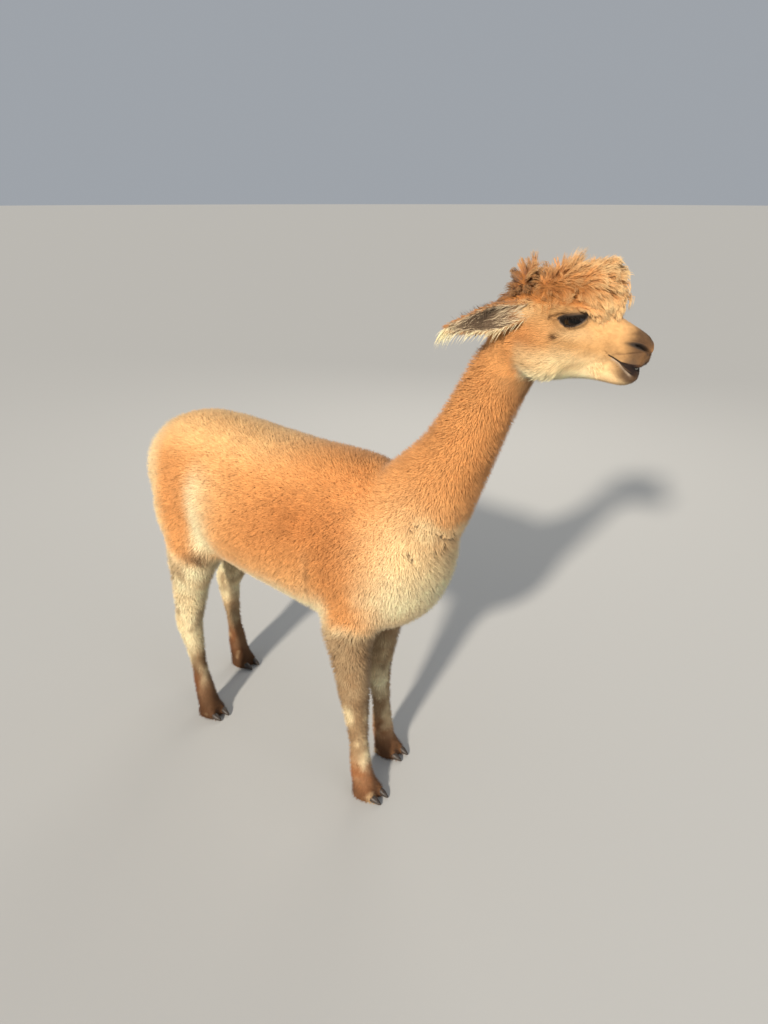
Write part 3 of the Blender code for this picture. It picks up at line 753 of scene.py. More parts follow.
def leg_colour(points, colour, mottle):
    """Cream legs with brown patches, darker behind, painted shade at the fore knees, and rusty feet
    darkened by dirt and painted shadow; a dark spot on the right stifle.
    """
    x, y, z = points.T
    hind = x < HIND_LEGS
    left_hind = hind & (y > 0)
    patches = noise(points, 0.050, 21) + 0.5 * noise(points, 0.018, 22)
    top = np.where(hind, 0.545, 0.508) + 0.014 * mottle
    below = 1 - ramp(-0.040, 0.020, z - top)
    pale = mix(plain(CREAM, len(points)), PALE_CREAM, 0.6 + 0.5 * mottle)
    colour = colour * (1 - below[:, None]) + pale * below[:, None]
    fore_brown = np.where(hind, 0.0, 0.84) * (1 - ramp(0.46, 0.51, z)) * ramp(0.11, 0.17, z)
    broken = ramp(-0.6, 0.2, patches + 0.12 + 0.25 * ramp(0.26, 0.32, z))
    colour = mix(colour, LEG_BROWN, below * fore_brown * broken)
    colour = mix(colour, LEG_BROWN, below * 0.60 * ramp(0.15, 0.65, patches))
    foot_x = np.where(hind, FEET["hind_right"][0], FEET["fore_right"][0])
    foot_x = np.where(left_hind, FEET["hind_left"][0], foot_x)
    foot_x = np.where(~hind & (y > 0), FEET["fore_left"][0], foot_x)
    behind = ramp(-0.02, 0.03, foot_x - x)
    lower = 1 - np.where(hind, ramp(0.17, 0.26, z), ramp(0.22, 0.32, z))
    stain = ramp(-0.5, 0.5, patches + 0.9 * behind - 0.35) * np.where(left_hind, 0.6, 1.0)
    colour = mix(colour, LEG_BROWN, lower * np.where(hind, 0.95, 0.72) * stain)
    colour = mix(colour, SPOT, 0.60 * (1 - ramp(0.15, 0.22, z)) * hind * stain)
    # Painted shade in the crease of the fore knees.
    knee_crease_shade = hump(z - 0.276, 0.015) * ~hind * ramp(-0.03, 0.03, x - foot_x + 0.02)
    colour = mix(colour, SPOT, 0.42 * knee_crease_shade)
    rust_top = np.where(hind, 0.145, 0.105) + 0.024 * patches
    rust = np.array(RUST) * np.where(hind, 0.55, 0.90)[:, None]
    colour = mix(colour, rust, 0.88 * (1 - ramp(-0.045, 0.045, z - rust_top)))
    # Darker towards the ground, most on the hind feet: partly dirt, partly painted shadow round the
    # feet.
    dirt_and_shadow = 1 - ramp(0.015, np.where(hind, 0.120, 0.070), z + 0.012 * patches)
    colour = mix(colour, SPOT, dirt_and_shadow * np.where(hind, 0.90, 0.70))
    colour = mix(colour, CREAM, 0.35 * ramp(0.35, 0.9, patches) * (z < rust_top))
    stifle = ball(points, (-0.382, -0.146, 0.535), (0.019, 0.06, 0.020))
    halo = ball(points, (-0.392, -0.146, 0.537), (0.045, 0.06, 0.030))
    colour = mix(colour, LEG_BROWN, 0.70 * halo * ramp(-0.9, 0.1, patches))
    colour = mix(colour, SPOT, 0.70 * stifle * ramp(-1.3, -0.2, patches))
    hock = ball(points, (-0.562, 0.15, 0.215), (0.022, 0.05, 0.022))
    return mix(colour, RUST, 0.8 * hock)


def muzzle_colour(face, head, mottle):
    """Grey-brown nose and lips, nostrils dark with painted shade, the pale edge of the mouth, and
    painted shade inside it, below the nostrils, in the lip crease and where the lips meet.
    """
    near = folded(head)
    x, y, z = near.T
    along, above = mouth_levels(head)
    tip = ramp(0.080, 0.102, x - 0.10 * (z + 0.04) + 0.005 * mottle)
    face = mix(face, MUZZLE, 0.86 * tip)
    wing = ball(near, (0.110, 0.022, -0.036), (0.027, 0.024, 0.020))
    face = mix(face, MUZZLE, 0.95 * wing)
    upper = hump(above - 0.0050, 0.0100) * ramp(-0.012, 0.010, along)
    face = mix(face, LIP, (0.30 + 0.55 * ramp(0.022, 0.046, along)) * upper)
    lower = ramp(0.006, 0.026, along) * (1 - ramp(-0.010, -0.002, above))
    lower = lower * ramp(-0.042, -0.018, above)
    face = mix(face, LIP, (0.50 + 0.42 * ramp(0.020, 0.048, along)) * lower)
    chin = ramp(0.000, 0.020, along) * (1 - ramp(-0.034, -0.022, above))
    face = mix(face, CREAM, 0.35 * chin)
    level, _ = nostril_level(head)
    # Painted shade in and round each nostril's pit.
    face = mix(face, DARK_SKIN, 1 - ramp(1.1, 2.2, level))
    # Painted shade in the groove below each nostril.
    face = mix(face, DARK_SKIN, 0.85 * ball(near, *WING_GROOVE))
    lip_out = 0.038 * np.sqrt(np.clip(1 - ((x - 0.060) / 0.048) ** 2, 0, 1))
    inside = 1 - ramp(-0.0045, -0.0015, y - lip_out)
    gape = (np.abs(above + 0.001) < gape_half(along)) & (along > 0.002)
    lip_edge = hump(above + 0.0026 + gape_half(along), 0.0022) * ramp(0.004, 0.012, along)
    face = mix(face, INNER_LIP, 0.90 * lip_edge * (1 - ramp(0.044, 0.054, along)) * (x < 0.13))
    face = mix(face, LIP, 0.85 * gape)
    # Painted shadow inside the mouth.
    face = mix(face, MOUTH_SHADOW, 0.94 * gape * np.maximum(inside, above > -0.70 * gape_half(along)))
    # Painted shade in the crease above the upper lip.
    face = mix(face, MUZZLE, 0.55 * lip_crease(near))
    face = mix(face, MUZZLE, 0.60 * ball(near, (0.099, 0.018, -0.0185), (0.009, 0.014, 0.003)))
    # Painted shade along the line where the lips meet.
    lip_line_shade = hump(above, 0.0016) * ramp(-0.002, 0.003, along) * (1 - ramp(0.030, 0.045, along))
    return mix(face, DARK_SKIN, 0.85 * lip_line_shade)


def lid_colour(face, head):
    """Dark lids with a pale rim below, dark corners deepened by painted shade, painted shade in the
    folds round the lids, and a painted shadow of the forelock beside the crown.
    """
    near = folded(head)
    x = near[:, 0]
    out = eye_distance(head)
    _, over = lid_distance(near)
    dark = 1 - ramp(0.0015, 0.0048, out)
    arch = np.sqrt(np.clip(1 - ((x + 0.004) / 0.029) ** 2, 0, 1))
    lid = (1 - ramp(0.0010 + 0.0035 * arch, 0.0020 + 0.0065 * arch, out)) * over
    face = mix(face, LID, 0.92 * lid)
    # Dark corners: partly dark skin, partly painted shade in the corners of the eye.
    corner = ball(near, (0.0225, 0.05, 0.0072), (0.008, 0.03, 0.0045))
    corner += ball(near, (-0.0285, 0.05, -0.0016), (0.007, 0.03, 0.0028))
    face = mix(face, DARK_SKIN, np.maximum(dark, corner))
    face = mix(face, LID_RIM, 0.7 * hump(out - 0.0030, 0.0012) * np.where(over, 0.0, 1.0))
    # Painted shade in the folds round the lids.
    face = mix(face, MUZZLE, 0.35 * hump(out - 0.0065, 0.0030))
    # Painted shadow of the forelock on the face beside the crown.
    forelock_shadow = ball(near, (0.030, 0.050, 0.013), (0.022, 0.03, 0.013))
    return mix(face, LEG_BROWN, 0.75 * forelock_shadow * np.where(out > 0.003, 1.0, 0.0))


def head_colour(points, colour):
    """A cream face, orange behind the cheeks, with a freckle on the right one; painted shade on the
    throat and painted light under the jaw.
    """
    head = to_head(points)
    near = folded(head)
    x, _, z = near.T
    mottle = noise(points, 0.020, 31)
    share = head_share(points)
    cheek = ramp(-0.116, -0.082, x + 0.012 * mottle + 0.05 * (z + 0.08))
    face = plain(FAWN, len(points)) * 0.98
    face = mix(face, FACE, cheek)
    face = dabbed(face, near, CHEEK_DABS)
    jaw = 1 - ramp(-0.076, -0.040, z + 0.10 * x + 0.006 * mottle)
    jaw *= 1 - ramp(0.072, 0.094, x)
    # Painted shade on the throat under the jaw: less cream and browner.
    throat_shade = (1 - ramp(-0.124, -0.106, z)) * (1 - ramp(-0.050, -0.020, x))
    jaw *= (1 - 0.72 * ramp(0.030, 0.072, x)) * (1 - throat_shade)
    face = mix(face, CREAM, (0.42 + 0.45 * ramp(-0.085, -0.015, x)) * jaw * cheek)
    # Paler under the jaw: partly its own pale cream, partly painted light where the underside lies in
    # shade.
    under = (1 - ramp(-0.105, -0.080, z)) * (1 - ramp(0.020, 0.050, x))
    face = mix(face, PALE_CREAM, 0.85 * under * jaw * cheek)
    face = mix(face, LEG_BROWN, 0.40 * throat_shade)
    beard = ball(near, (0.052, 0.03, -0.084), (0.022, 0.03, 0.022))
    streaks = noise(head * np.array((0.5, 1, 1.6)), 0.006, 33)
    face = mix(face, BRIDGE, 0.60 * beard * ramp(-0.4, 0.5, streaks))
    face = dabbed(face, near, PALE_DABS)
    face = mix(face, BRIDGE, 0.55 * ramp(0.02, 0.05, x) * ramp(-0.030, 0.0, z))
    face = mix(face, BRIDGE, 0.35 * ball(near, (0.020, 0.05, -0.028), (0.02, 0.03, 0.010)))
    face = muzzle_colour(face, head, mottle)
    face = lid_colour(face, head)
    freckle = ball(head, (-0.029, -0.063, -0.029), (0.0055, 0.02, 0.0050))
    face = mix(face, SPOT, 0.95 * np.clip(1.8 * freckle, 0, 1) * (head[:, 1] < 0))
    return colour * (1 - share[:, None]) + face * share[:, None]


def crown_colour(points, colour):
    """The dense wool under the topknot's locks, darkened by painted shade, most on top where the locks
    cover it.
    """
    head = to_head(points)
    inside = np.zeros(len(points))
    for centre, radii in CROWN:
        level = (((head - np.array(centre)) / np.array(radii)) ** 2).sum(axis=1)
        inside = np.maximum(inside, 1 - ramp(0.72, 0.95, level))
    inside *= 1 - ramp(0.0, 0.012, 0.026 - head[:, 2]) * ramp(0.030, 0.045, np.abs(head[:, 1]))
    # Painted shade under the locks, deepest on top.
    light = 0.55 + 0.30 * (1 - ramp(0.030, 0.045, head[:, 2]))
    return mix(colour, np.array(WOOL) * light[:, None], 0.95 * inside)


def ear_colour(points, colour):
    """Fawn backs, dark hollows and pale tips."""
    head = to_head(points)
    for side in SIDES.values():
        root, along, opens, across = ear_axes(side)
        offset = head - root
        t = offset @ along / EAR_LENGTH
        open_side = offset @ opens - 0.010 * np.sin(math.pi * np.clip(t, 0, 1))
        wide = np.abs(offset @ across)
        on_ear = (t > 0.10) & (t < 1.2) & (np.abs(open_side) < 0.030) & (wide < 0.030)
        on_ear = on_ear & (np.abs(head[:, 1]) > 0.055)
        hollow = np.hypot(open_side / 0.72, wide) < EAR_RADIUS - 0.0024
        shade = plain(EAR_BACK, len(points))
        shade = mix(shade, EAR_INSIDE, hollow * ramp(0.10, 0.30, t))
        shade = mix(shade, PALE_CREAM, 0.75 * ramp(0.78, 0.98, t))
        colour = np.where((on_ear & (t > 0.12))[:, None], shade, colour)
    return colour


def coat_colour(points):
    """The markings, with painted shade and light, at the root of each tuft as on the skin."""
    colour, mottle = body_colour(points)
    colour = leg_colour(points, colour, mottle)
    colour = head_colour(points, colour)
    colour = crown_colour(points, colour)
    colour = ear_colour(points, colour)
    on_head = head_share(points)
    light = 1 + 0.07 * mottle + (0.06 + 0.05 * on_head) * noise(points, 0.011, 41)
    light += (0.05 + 0.07 * on_head) * noise(points, 0.0045, 42)
    return np.clip(colour * light[:, None], 0, 1)


# --- Lie of the coat ------------------------------------------------------------------------------
def lie_of_coat(points, normals):
    """The way the hair lies, along the skin: back and down, down the legs, away from the nose."""
    back_down = plain((-0.55, 0.0, -0.83), len(points))
    neck = ramp(0.74, 0.88, points[:, 2])[:, None]
    down_neck = np.array((-0.35, 0.0, -0.93))
    lie = back_down * (1 - neck) + down_neck * neck
    legs = leg_share(points)[:, None]
    lie = lie * (1 - legs) + np.array((0.05, 0.0, -1.0)) * legs
    head = to_head(points)
    away = folded(head) * np.array((0.5, 0.6, 0.5)) - np.array((0.060, 0.0, -0.018))
    away = unit(away - np.array((0.05, 0, 0)))
    away[:, 1] *= np.sign(head[:, 1])
    away += ramp(0.085, 0.118, head[:, 0])[:, None] * np.array((-0.7, 0.0, 0.6))
    share = head_share(points)[:, None]
    lie = lie * (1 - share) + (away @ HEAD_AXES) * share
    lie = lie + 0.22 * noise_vector(points, 0.06, 51) + 0.14 * noise_vector(points, 0.013, 54)
    return tangent(unit(lie), normals)


NECK_BASE_MIDDLE, NECK_BASE_RADIUS = 0.200, 0.108
# Each parting runs from one place to another, given as how far round from the front of the neck's
# base it lies and how high; the last value is half its width.
PARTINGS = (
    ((0.062, 0.763), (0.031, 0.741), 0.0030),
    ((0.031, 0.741), (0.000, 0.733), 0.0026),
    ((0.118, 0.783), (0.098, 0.774), 0.0022),
    ((0.093, 0.772), (0.077, 0.766), 0.0020),
    ((0.121, 0.767), (0.104, 0.762), 0.0024),
    ((0.128, 0.709), (0.112, 0.689), 0.0020),
    ((0.110, 0.796), (0.102, 0.792), 0.0020),
    ((0.034, 0.728), (0.026, 0.711), 0.0020),
    ((0.054, 0.708), (0.044, 0.692), 0.0022),
)


def parting(points, spread=0.0):
    """1 along the short partings that cross the base of the neck, and within a spread of them."""
    around = NECK_BASE_RADIUS * np.arctan2(np.abs(points[:, 1]), points[:, 0] - NECK_BASE_MIDDLE)
    place = np.stack([around, points[:, 2]], axis=1)
    nearest = np.ones(len(points))
    for start, end, half_width in PARTINGS:
        start, way = np.array(start), np.subtract(end, start)
        along = np.clip((place - start) @ way / (way @ way), 0, 1)
        off = np.linalg.norm(place - start - along[:, None] * way, axis=1)
        taper = 0.35 + 0.65 * np.sqrt(4 * along * (1 - along))
        nearest = np.minimum(nearest, off - half_width * taper)
    return 1 - ramp(spread, spread + 0.0012, nearest)


def flank_fold(points):
    """How far forward of the fold behind the elbow, and how much of it there is here."""
    ahead = points[:, 0] - 0.010 - 0.20 * (points[:, 2] - 0.61)
    there = ramp(0.52, 0.59, points[:, 2]) * (1 - ramp(0.63, 0.71, points[:, 2]))
    return ahead, there * ramp(0.10, 0.13, np.abs(points[:, 1]))


def tuft_length(points):
    """Shorter on legs, feet and face, longer behind, below the belly and on the breast."""
    length = np.full(len(points), TUFT_LENGTH)
    woolly = ramp(0.28, 0.40, points[:, 2])
    length += (0.0095 + 0.0045 * woolly - length) * leg_share(points)
    length += (0.0080 - length) * (1 - ramp(0.08, 0.22, points[:, 2]))
    edge = 1 - ramp(0.47, 0.53, points[:, 2])
    length += 0.0050 * edge * (1 - leg_share(points))
    length += 0.0090 * (1 - ramp(-0.59, -0.51, points[:, 0])) * ramp(0.50, 0.60, points[:, 2])
    length += 0.0040 * ramp(0.20, 0.28, points[:, 0]) * (1 - ramp(0.62, 0.80, points[:, 2]))
    head = to_head(points)
    near = folded(head)
    share = head_share(points)
    face = 0.0100 - 0.0040 * ramp(-0.03, 0.04, near[:, 0]) - 0.0030 * ramp(0.05, 0.10, near[:, 0])
    face += 0.0050 * ball(near, (-0.055, 0.055, -0.075), (0.035, 0.03, 0.030))
    length += (face - length) * share
    length *= 1 - 0.55 * (1 - ramp(0.004, 0.012, eye_distance(head))) * share
    by_nostril = ball(near, (0.119, 0.017, -0.047), (0.014, 0.014, 0.010))
    return length * (1 - 0.65 * by_nostril)


def fur_density(points):
    """Tufts for each square metre."""
    density = np.full(len(points), TRUNK_TUFTS)
    density += (LEG_TUFTS - density) * leg_share(points)
    share = head_share(points)
    density += (FACE_TUFTS - density) * share
    head = to_head(points)
    density *= ramp(0.0022, 0.0050, eye_distance(head))
    level, _ = nostril_level(head)
    density *= np.where(share > 0.3, ramp(1.9, 3.1, level), 1.0)
    along, above = mouth_levels(head)
    lip_line = (np.abs(above) < 0.0032 + 0.07 * np.clip(along, 0, 0.06)) & (along > 0.0)
    density *= np.where(lip_line & (share > 0.3) & (head[:, 0] < 0.2), 0.0, 1.0)
    density *= ramp(0.0008, 0.003, points[:, 2])
    return density


def in_crown(points, share=0.62):
    """Whether points lie in a share of the crown's wool, above the brow."""
    head = to_head(points)
    found = np.zeros(len(points), bool)
    for centre, radii in CROWN:
        found |= (((head - np.array(centre)) / np.array(radii)) ** 2).sum(axis=1) < share
    below = (head[:, 2] < 0.014) & (np.abs(head[:, 1]) > 0.030) & (head[:, 0] > -0.09)
    return found & ~below


def scatter(points, triangles, normals, density, rng):
    """Roots spread over the skin at a density, with their normals."""
    a, b, c = (points[triangles[:, k]] for k in range(3))
    area = np.linalg.norm(np.cross(b - a, c - a), axis=1) / 2
    expected = area * density((a + b + c) / 3)
    count = np.floor(expected + rng.random(len(expected))).astype(int)
    chosen = np.repeat(np.arange(len(triangles)), count)
    r, s = rng.random(len(chosen)), rng.random(len(chosen))
    over = r + s > 1
    r[over], s[over] = 1 - r[over], 1 - s[over]
    weights = np.stack((1 - r - s, r, s), axis=1)
    corner = triangles[chosen]
    roots = (points[corner] * weights[:, :, None]).sum(axis=1)
    facing = unit((normals[corner] * weights[:, :, None]).sum(axis=1))
    return roots, facing


# --- Tufts and locks ------------------------------------------------------------------------------
PATCH = 0.003  # size of a tuft's place on the OFBake map


def chart(points, start, end, band):
    """Each point's place on an unwrap round the line from start to end, within a band of the map."""
    start, end = np.array(start, float), np.array(end, float)
    axis = unit(end - start)
    offset = points - start
    along = offset @ axis / np.linalg.norm(end - start)
    level = unit(np.cross(axis, (0.0, 1.0, 0.0)))
    side = np.cross(axis, level)
    angle = np.arctan2(offset @ side, offset @ level) / (2 * math.pi) + 0.5
    u = band[0] + (band[1] - band[0]) * np.clip(angle, 0.01, 0.99)
    v = 0.02 + 0.96 * np.clip(0.1 + 0.8 * along, 0, 1)
    return np.stack((u, v), axis=1)


CHARTS = {
    "trunk": ((-0.62, 0, 0.70), (0.30, 0, 0.68), (0.0, 1.0)),
    "neck": ((0.20, 0, 0.72), (0.50, 0, 1.15), (0.0, 1.0)),
    "head": ((0.36, 0, 1.20), (0.67, 0.005, 1.17), (0.0, 1.0)),
    "tail": ((-0.60, 0, 0.80), (-0.635, 0, 0.58), (0.0, 1.0)),
}


def leg_chart(points):
    """Each leg has its own quarter of the map."""
    places = np.zeros((len(points), 2))
    away = [np.linalg.norm(points[:, :2] - FEET[leg][:2], axis=1) for leg in LEGS]
    nearest = np.argmin(away, axis=0)
    for k, leg in enumerate(LEGS):
        foot = FEET[leg]
        mine = nearest == k
        top = (foot[0], foot[1], 0.50)
        places[mine] = chart(points[mine], (foot[0], foot[1], 0.0), top, (k / 4, (k + 1) / 4))
    return places


def coat_piece(name, points, faces, colours, places, normals, material, slot):
    """A mesh of many tufts, coloured by its points, riding on the body."""
    obj = object_from(name, points, faces)
    mesh = obj.data
    paint_points(mesh, colours)
    corners = np.empty(len(mesh.loops), np.int32)
    mesh.loops.foreach_get("vertex_index", corners)
    layer = mesh.uv_layers.new(name="OFBake")
    layer.data.foreach_set("uv", np.clip(places, 0, 1)[corners].astype(np.float32).ravel())
    mesh.shade_smooth()
    mesh.normals_split_custom_set_from_vertices(normals.astype(np.float32))
    mesh.materials.append(material)
    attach(obj, "root")
    return obj


SPIKE_FACES = np.array(((0, 1, 2), (1, 0, 3), (2, 1, 3), (0, 2, 3)))
SPIKE_PATCH = np.array(((-0.5, -0.5), (0.5, -0.5), (0.0, -0.5), (0.0, 0.5))) * PATCH


def spikes(roots, normals, lie, length, width, lean, root_colour, tip_colour, places):
    """Short tapering tufts: points, faces, colours, map places and normals."""
    direction = unit(normals * np.cos(lean)[:, None] + lie * np.sin(lean)[:, None])
    across = unit(np.cross(direction, normals) + 1e-6)
    behind = unit(np.cross(normals, across))
    foot = roots - normals * ROOT_SUNK
    half = (width / 2)[:, None]
    base = (foot + across * half, foot - across * half, foot + behind * half * 1.1)
    points = np.stack((*base, roots + direction * length[:, None]), axis=1)
    points[:, :, 2] = np.maximum(points[:, :, 2], LEAST_HEIGHT)
    faces = SPIKE_FACES[None] + 4 * np.arange(len(roots))[:, None, None]
    colours = np.stack((root_colour, root_colour, root_colour, tip_colour), axis=1)
    own = np.stack((across, -across, behind, normals), axis=1)
    shading = unit(0.85 * normals[:, None] + 0.26 * own)
    uv = places[:, None] + SPIKE_PATCH[None]
    return [array.reshape(-1, array.shape[-1]) for array in (points, faces, colours, uv, shading)]


def locks(paths, radii, normals, root_colour, mid_colour, tip_colour, places, sides=3):
    """Curved tapering locks along paths (count, steps, 3): as spikes() gives them."""
    count, steps, _ = paths.shape
    radii = np.broadcast_to(radii, count)
    heading = unit(np.gradient(paths, axis=1))
    across = unit(np.cross(heading, normals[:, None]) + 1e-6)
    over = np.cross(across, heading)
    share = np.linspace(0, 1, steps)
    taper = np.clip(1 - share**1.7, 0, 1) ** 0.75
    rings, own, colours, uv = [], [], [], []
    for s in range(steps - 1):
        for k in range(sides):
            angle = math.tau * k / sides + math.pi / 2
            out = across[:, s] * math.cos(angle) + over[:, s] * math.sin(angle)
            rings.append(paths[:, s] + out * (radii * taper[s])[:, None])
            own.append(out)
            uv.append((k / (sides - 1) - 0.5, share[s] - 0.5))
    rings.append(paths[:, -1])
    own.append(heading[:, -1])
    uv.append((0.0, 0.5))
    for s in list(np.repeat(share[:-1], sides)) + [1.0]:
        first, second = min(1.0, s * 2), max(0.0, s * 2 - 1)
        shade = root_colour * (1 - first) + mid_colour * first
        colours.append(shade * (1 - second) + tip_colour * second)
    faces = []
    for s in range(steps - 2):
        for k in range(sides):
            n = (k + 1) % sides
            low, high = s * sides, (s + 1) * sides
            faces += [(low + k, high + n, low + n), (low + k, high + k, high + n)]
    last, tip = (steps - 2) * sides, (steps - 1) * sides
    faces += [(last + k, tip, last + (k + 1) % sides) for k in range(sides)]
    faces += [(0, k, k + 1) for k in range(1, sides - 1)]
    points = np.stack(rings, axis=1)
    points[:, :, 2] = np.maximum(points[:, :, 2], LEAST_HEIGHT)
    faces = np.array(faces)[None] + points.shape[1] * np.arange(count)[:, None, None]
    shading = unit(0.55 * normals[:, None] + 0.6 * np.stack(own, axis=1))
    uv = places[:, None] + PATCH * np.array(uv)[None]
    parts = (points, faces, np.stack(colours, axis=1), uv, shading)
    return [array.reshape(-1, array.shape[-1]) for array in parts]


def short_coat(skin, rng):
    """Roots, and the tufts' shape and colour, over all the skin, in one set of arrays."""
    _, points, triangles, normals = skin
    roots, facing = scatter(points, triangles, normals, fur_density, rng)
    crown = in_crown(roots)
    stays = rng.random(len(roots)) < TUFTS_UNDER_CROWN
    stays = np.where(crown, stays, rng.random(len(roots)) > 0.98 * parting(roots))
    roots, facing, crown = roots[stays], facing[stays], crown[stays]
    share = head_share(roots)
    ruffled = (0.55 - 0.35 * share)[:, None]
    lie = tangent(lie_of_coat(roots, facing) + ruffled * rng.normal(size=roots.shape), facing)
    length = np.where(crown, LENGTH_UNDER_CROWN, tuft_length(roots))
    length = length * rng.uniform(0.75, 1.15, len(roots))
    lean = np.radians(TRUNK_LEAN) + np.radians(6) * noise(roots, 0.02, 61)
    muzzle = share * ramp(-0.02, 0.06, to_head(roots)[:, 0])
    more = np.radians(MORE_ON_FACE) * share + np.radians(MORE_ON_LEGS) * leg_share(roots)
    lean += more + np.radians(MORE_ON_MUZZLE) * muzzle
    lean += rng.normal(0, 0.16, len(roots))
    # Tufts gather in clumps.
    centres = roots[rng.random(len(roots)) < CLUMPS]
    clump = centres[nearest_to(centres, roots)]
    towards = tangent(clump - roots + lie * 0.004, facing)
    gap = np.linalg.norm(clump - roots, axis=1)
    pull = 0.28 * np.clip(gap / 0.010, 0, 1)
    lie = tangent(lie + towards * pull[:, None], facing)
    width = TUFT_WIDTH - FINER_ON_FACE * share
    clump_light = 1 + 0.05 * (lattice(np.round(clump * 1e4).astype(int), 71) - 0.5)
    light = rng.uniform(0.88, 1.12, len(roots)) * clump_light
    # Painted shade: tufts darker towards the edges of their clumps, beside the partings and in the fold
    # behind the elbow.
    edge = 1 - 0.10 * ramp(0.004, 0.010, gap) * (1 - share)
    ahead, folds = flank_fold(roots)
    beside = parting(roots, 0.0024)
    edge *= 1 - 0.76 * beside - 0.40 * hump(ahead, 0.006) * folds
    # Tufts that would lie across a parting end at it.
    length = whole = length * (1 - 0.55 * beside)
    for part in (1.2, 1.0, 0.8, 0.6, 0.4, 0.2):
        reached = roots + lie * (part * whole * np.sin(lean))[:, None]
        length = np.where(parting(reached) > 0.5, max(0.75 * part, 0.20) * whole, length)
    colour = coat_colour(roots)
    # Darker roots and paler tips: partly the fibre's own colour, partly painted shade deep in the coat
    # and painted highlight on the tips.
    root_colour = colour * (0.76 * light * edge)[:, None] * np.array((1.0, 0.95, 0.91))
    tip_colour = np.clip(colour * (1.22 * light * edge)[:, None] + 0.006, 0, 1)
    return roots, facing, lie, length, width, lean, root_colour, tip_colour


def short_pieces(skin, rng, materials):
    """The short coat, in pieces that each stay under 200,000 triangles."""
    arrays = short_coat(skin, rng)
    roots = arrays[0]
    x, z = roots[:, 0], roots[:, 2]
    on_head = head_share(roots) > 0.5
    on_neck = ~on_head & (z - 0.80 + 0.72 * (x - 0.20) > 0.0) & (z > 0.70) & (x > 0.08)
    hind = x <= HIND_LEGS
    on_leg = ~on_head & (z < np.where(x < HIND_LEGS, 0.50, 0.43))
    trunk = ~(on_head | on_neck | on_leg)
    before_eyes = x > HEAD_ORIGIN[0] - BACK_OF_FACE
    regions = {
        "fleece_neck": (on_neck, "neck", "body_coat"),
        "fleece_breast": (trunk & (x > 0.10), "trunk", "body_coat"),
        "fleece_shoulder": (trunk & (x <= 0.10) & (x > -0.13), "trunk", "body_coat"),
        "fleece_barrel": (trunk & (x <= -0.13) & (x > -0.33), "trunk", "body_coat"),
        "fleece_rump": (trunk & (x <= -0.33) & (x > -0.49), "trunk", "body_coat"),
        "fleece_haunch": (trunk & (x <= -0.49), "trunk", "body_coat"),
        "fur_fore_legs": (on_leg & ~hind, "legs", "leg_coat"),
        "fur_hind_legs": (on_leg & hind, "legs", "leg_coat"),
        "fur_cheeks": (on_head & ~before_eyes, "head", "face_coat"),
        "fur_muzzle": (on_head & before_eyes, "head", "face_coat"),
    }
    for name, (mine, unwrap, slot) in regions.items():
        parts = [array[mine] for array in arrays]
        places = leg_chart(parts[0]) if unwrap == "legs" else chart(parts[0], *CHARTS[unwrap])
        material = materials["fur" if unwrap == "head" else "fleece"]
        coat_piece(name, *spikes(*parts, places), material, slot)


def curls(roots, directions, length, droop, wave, turns, steps, rng):
    """Paths that start along directions, droop by gravity and wave about their line.

    Droop, wave and turns are each one number for all the paths or one for each of them.
    """
    droop, wave, turns = (np.broadcast_to(value, len(roots)) for value in (droop, wave, turns))
    share = np.linspace(0, 1, steps)[None, :, None]
    reach = length[:, None, None]
    paths = roots[:, None] + directions[:, None] * reach * share
    paths = paths + np.array((0.0, 0.0, -1.0)) * reach * droop[:, None, None] * share**2
    return waved(paths, directions, wave, turns, rng)


def waved(paths, directions, wave, turns, rng):
    """Winds each path loosely round its own line."""
    share = np.linspace(0, 1, paths.shape[1])[None, :, None]
    first = unit(np.cross(directions, np.array((0.3, 0.4, 0.87))))
    second = np.cross(directions, first)
    phase = rng.uniform(0, math.tau, len(paths))[:, None, None]
    angle = phase + math.tau * turns[:, None, None] * share
    swing = wave[:, None, None] * share**0.7
    return paths + (first[:, None] * np.cos(angle) + second[:, None] * np.sin(angle)) * swing


def held_in_crown(head_points, limit):
    """Brings points past the crown's wool, grown by a limit, back to its surface and off the eyes."""
    centres = np.array([centre for centre, _ in CROWN], float)
    radii = np.array([radii for _, radii in CROWN], float)
    offset = head_points[:, None] - centres[None]
    above = offset * np.where(offset[:, :, 2:] > 0, (1, 1, 1), (1, 1, 0.45))
    level = np.sqrt(((above / radii[None]) ** 2).sum(axis=2))
    nearest = level.argmin(axis=1)
    row = np.arange(len(head_points))
    scale = np.minimum(1.0, limit / np.maximum(level[row, nearest], 1e-6))
    held = head_points + above[row, nearest] * (scale - 1)[:, None]
    brow = 0.018 - 0.045 * ramp(0.022, 0.050, held[:, 0])
    brow -= 0.090 * ramp(0.040, 0.080, -held[:, 0])
    on_side = np.abs(held[:, 1]) > 0.030
    held[:, 2] = np.maximum(held[:, 2], np.where(on_side, brow, -1.0))
    return held


def combed(starts, ways, length, droop, limit, steps):
    """Paths that set out along their ways, sink by their own weight and lie on the wool below."""
    place, heading = starts, ways
    stride = (length / (steps - 1))[:, None]
    sink = droop[:, None] * np.array((0.0, 0.0, -1.0)) / (steps - 1)
    paths = [place]
    for _ in range(steps - 1):
        heading = unit(heading + sink)
        place = held_in_crown(place + heading * stride, limit)
        paths.append(place)
    return np.stack(paths, axis=1)


def crown_density(points):
    return CROWN_LOCKS * in_crown(points, 0.97)


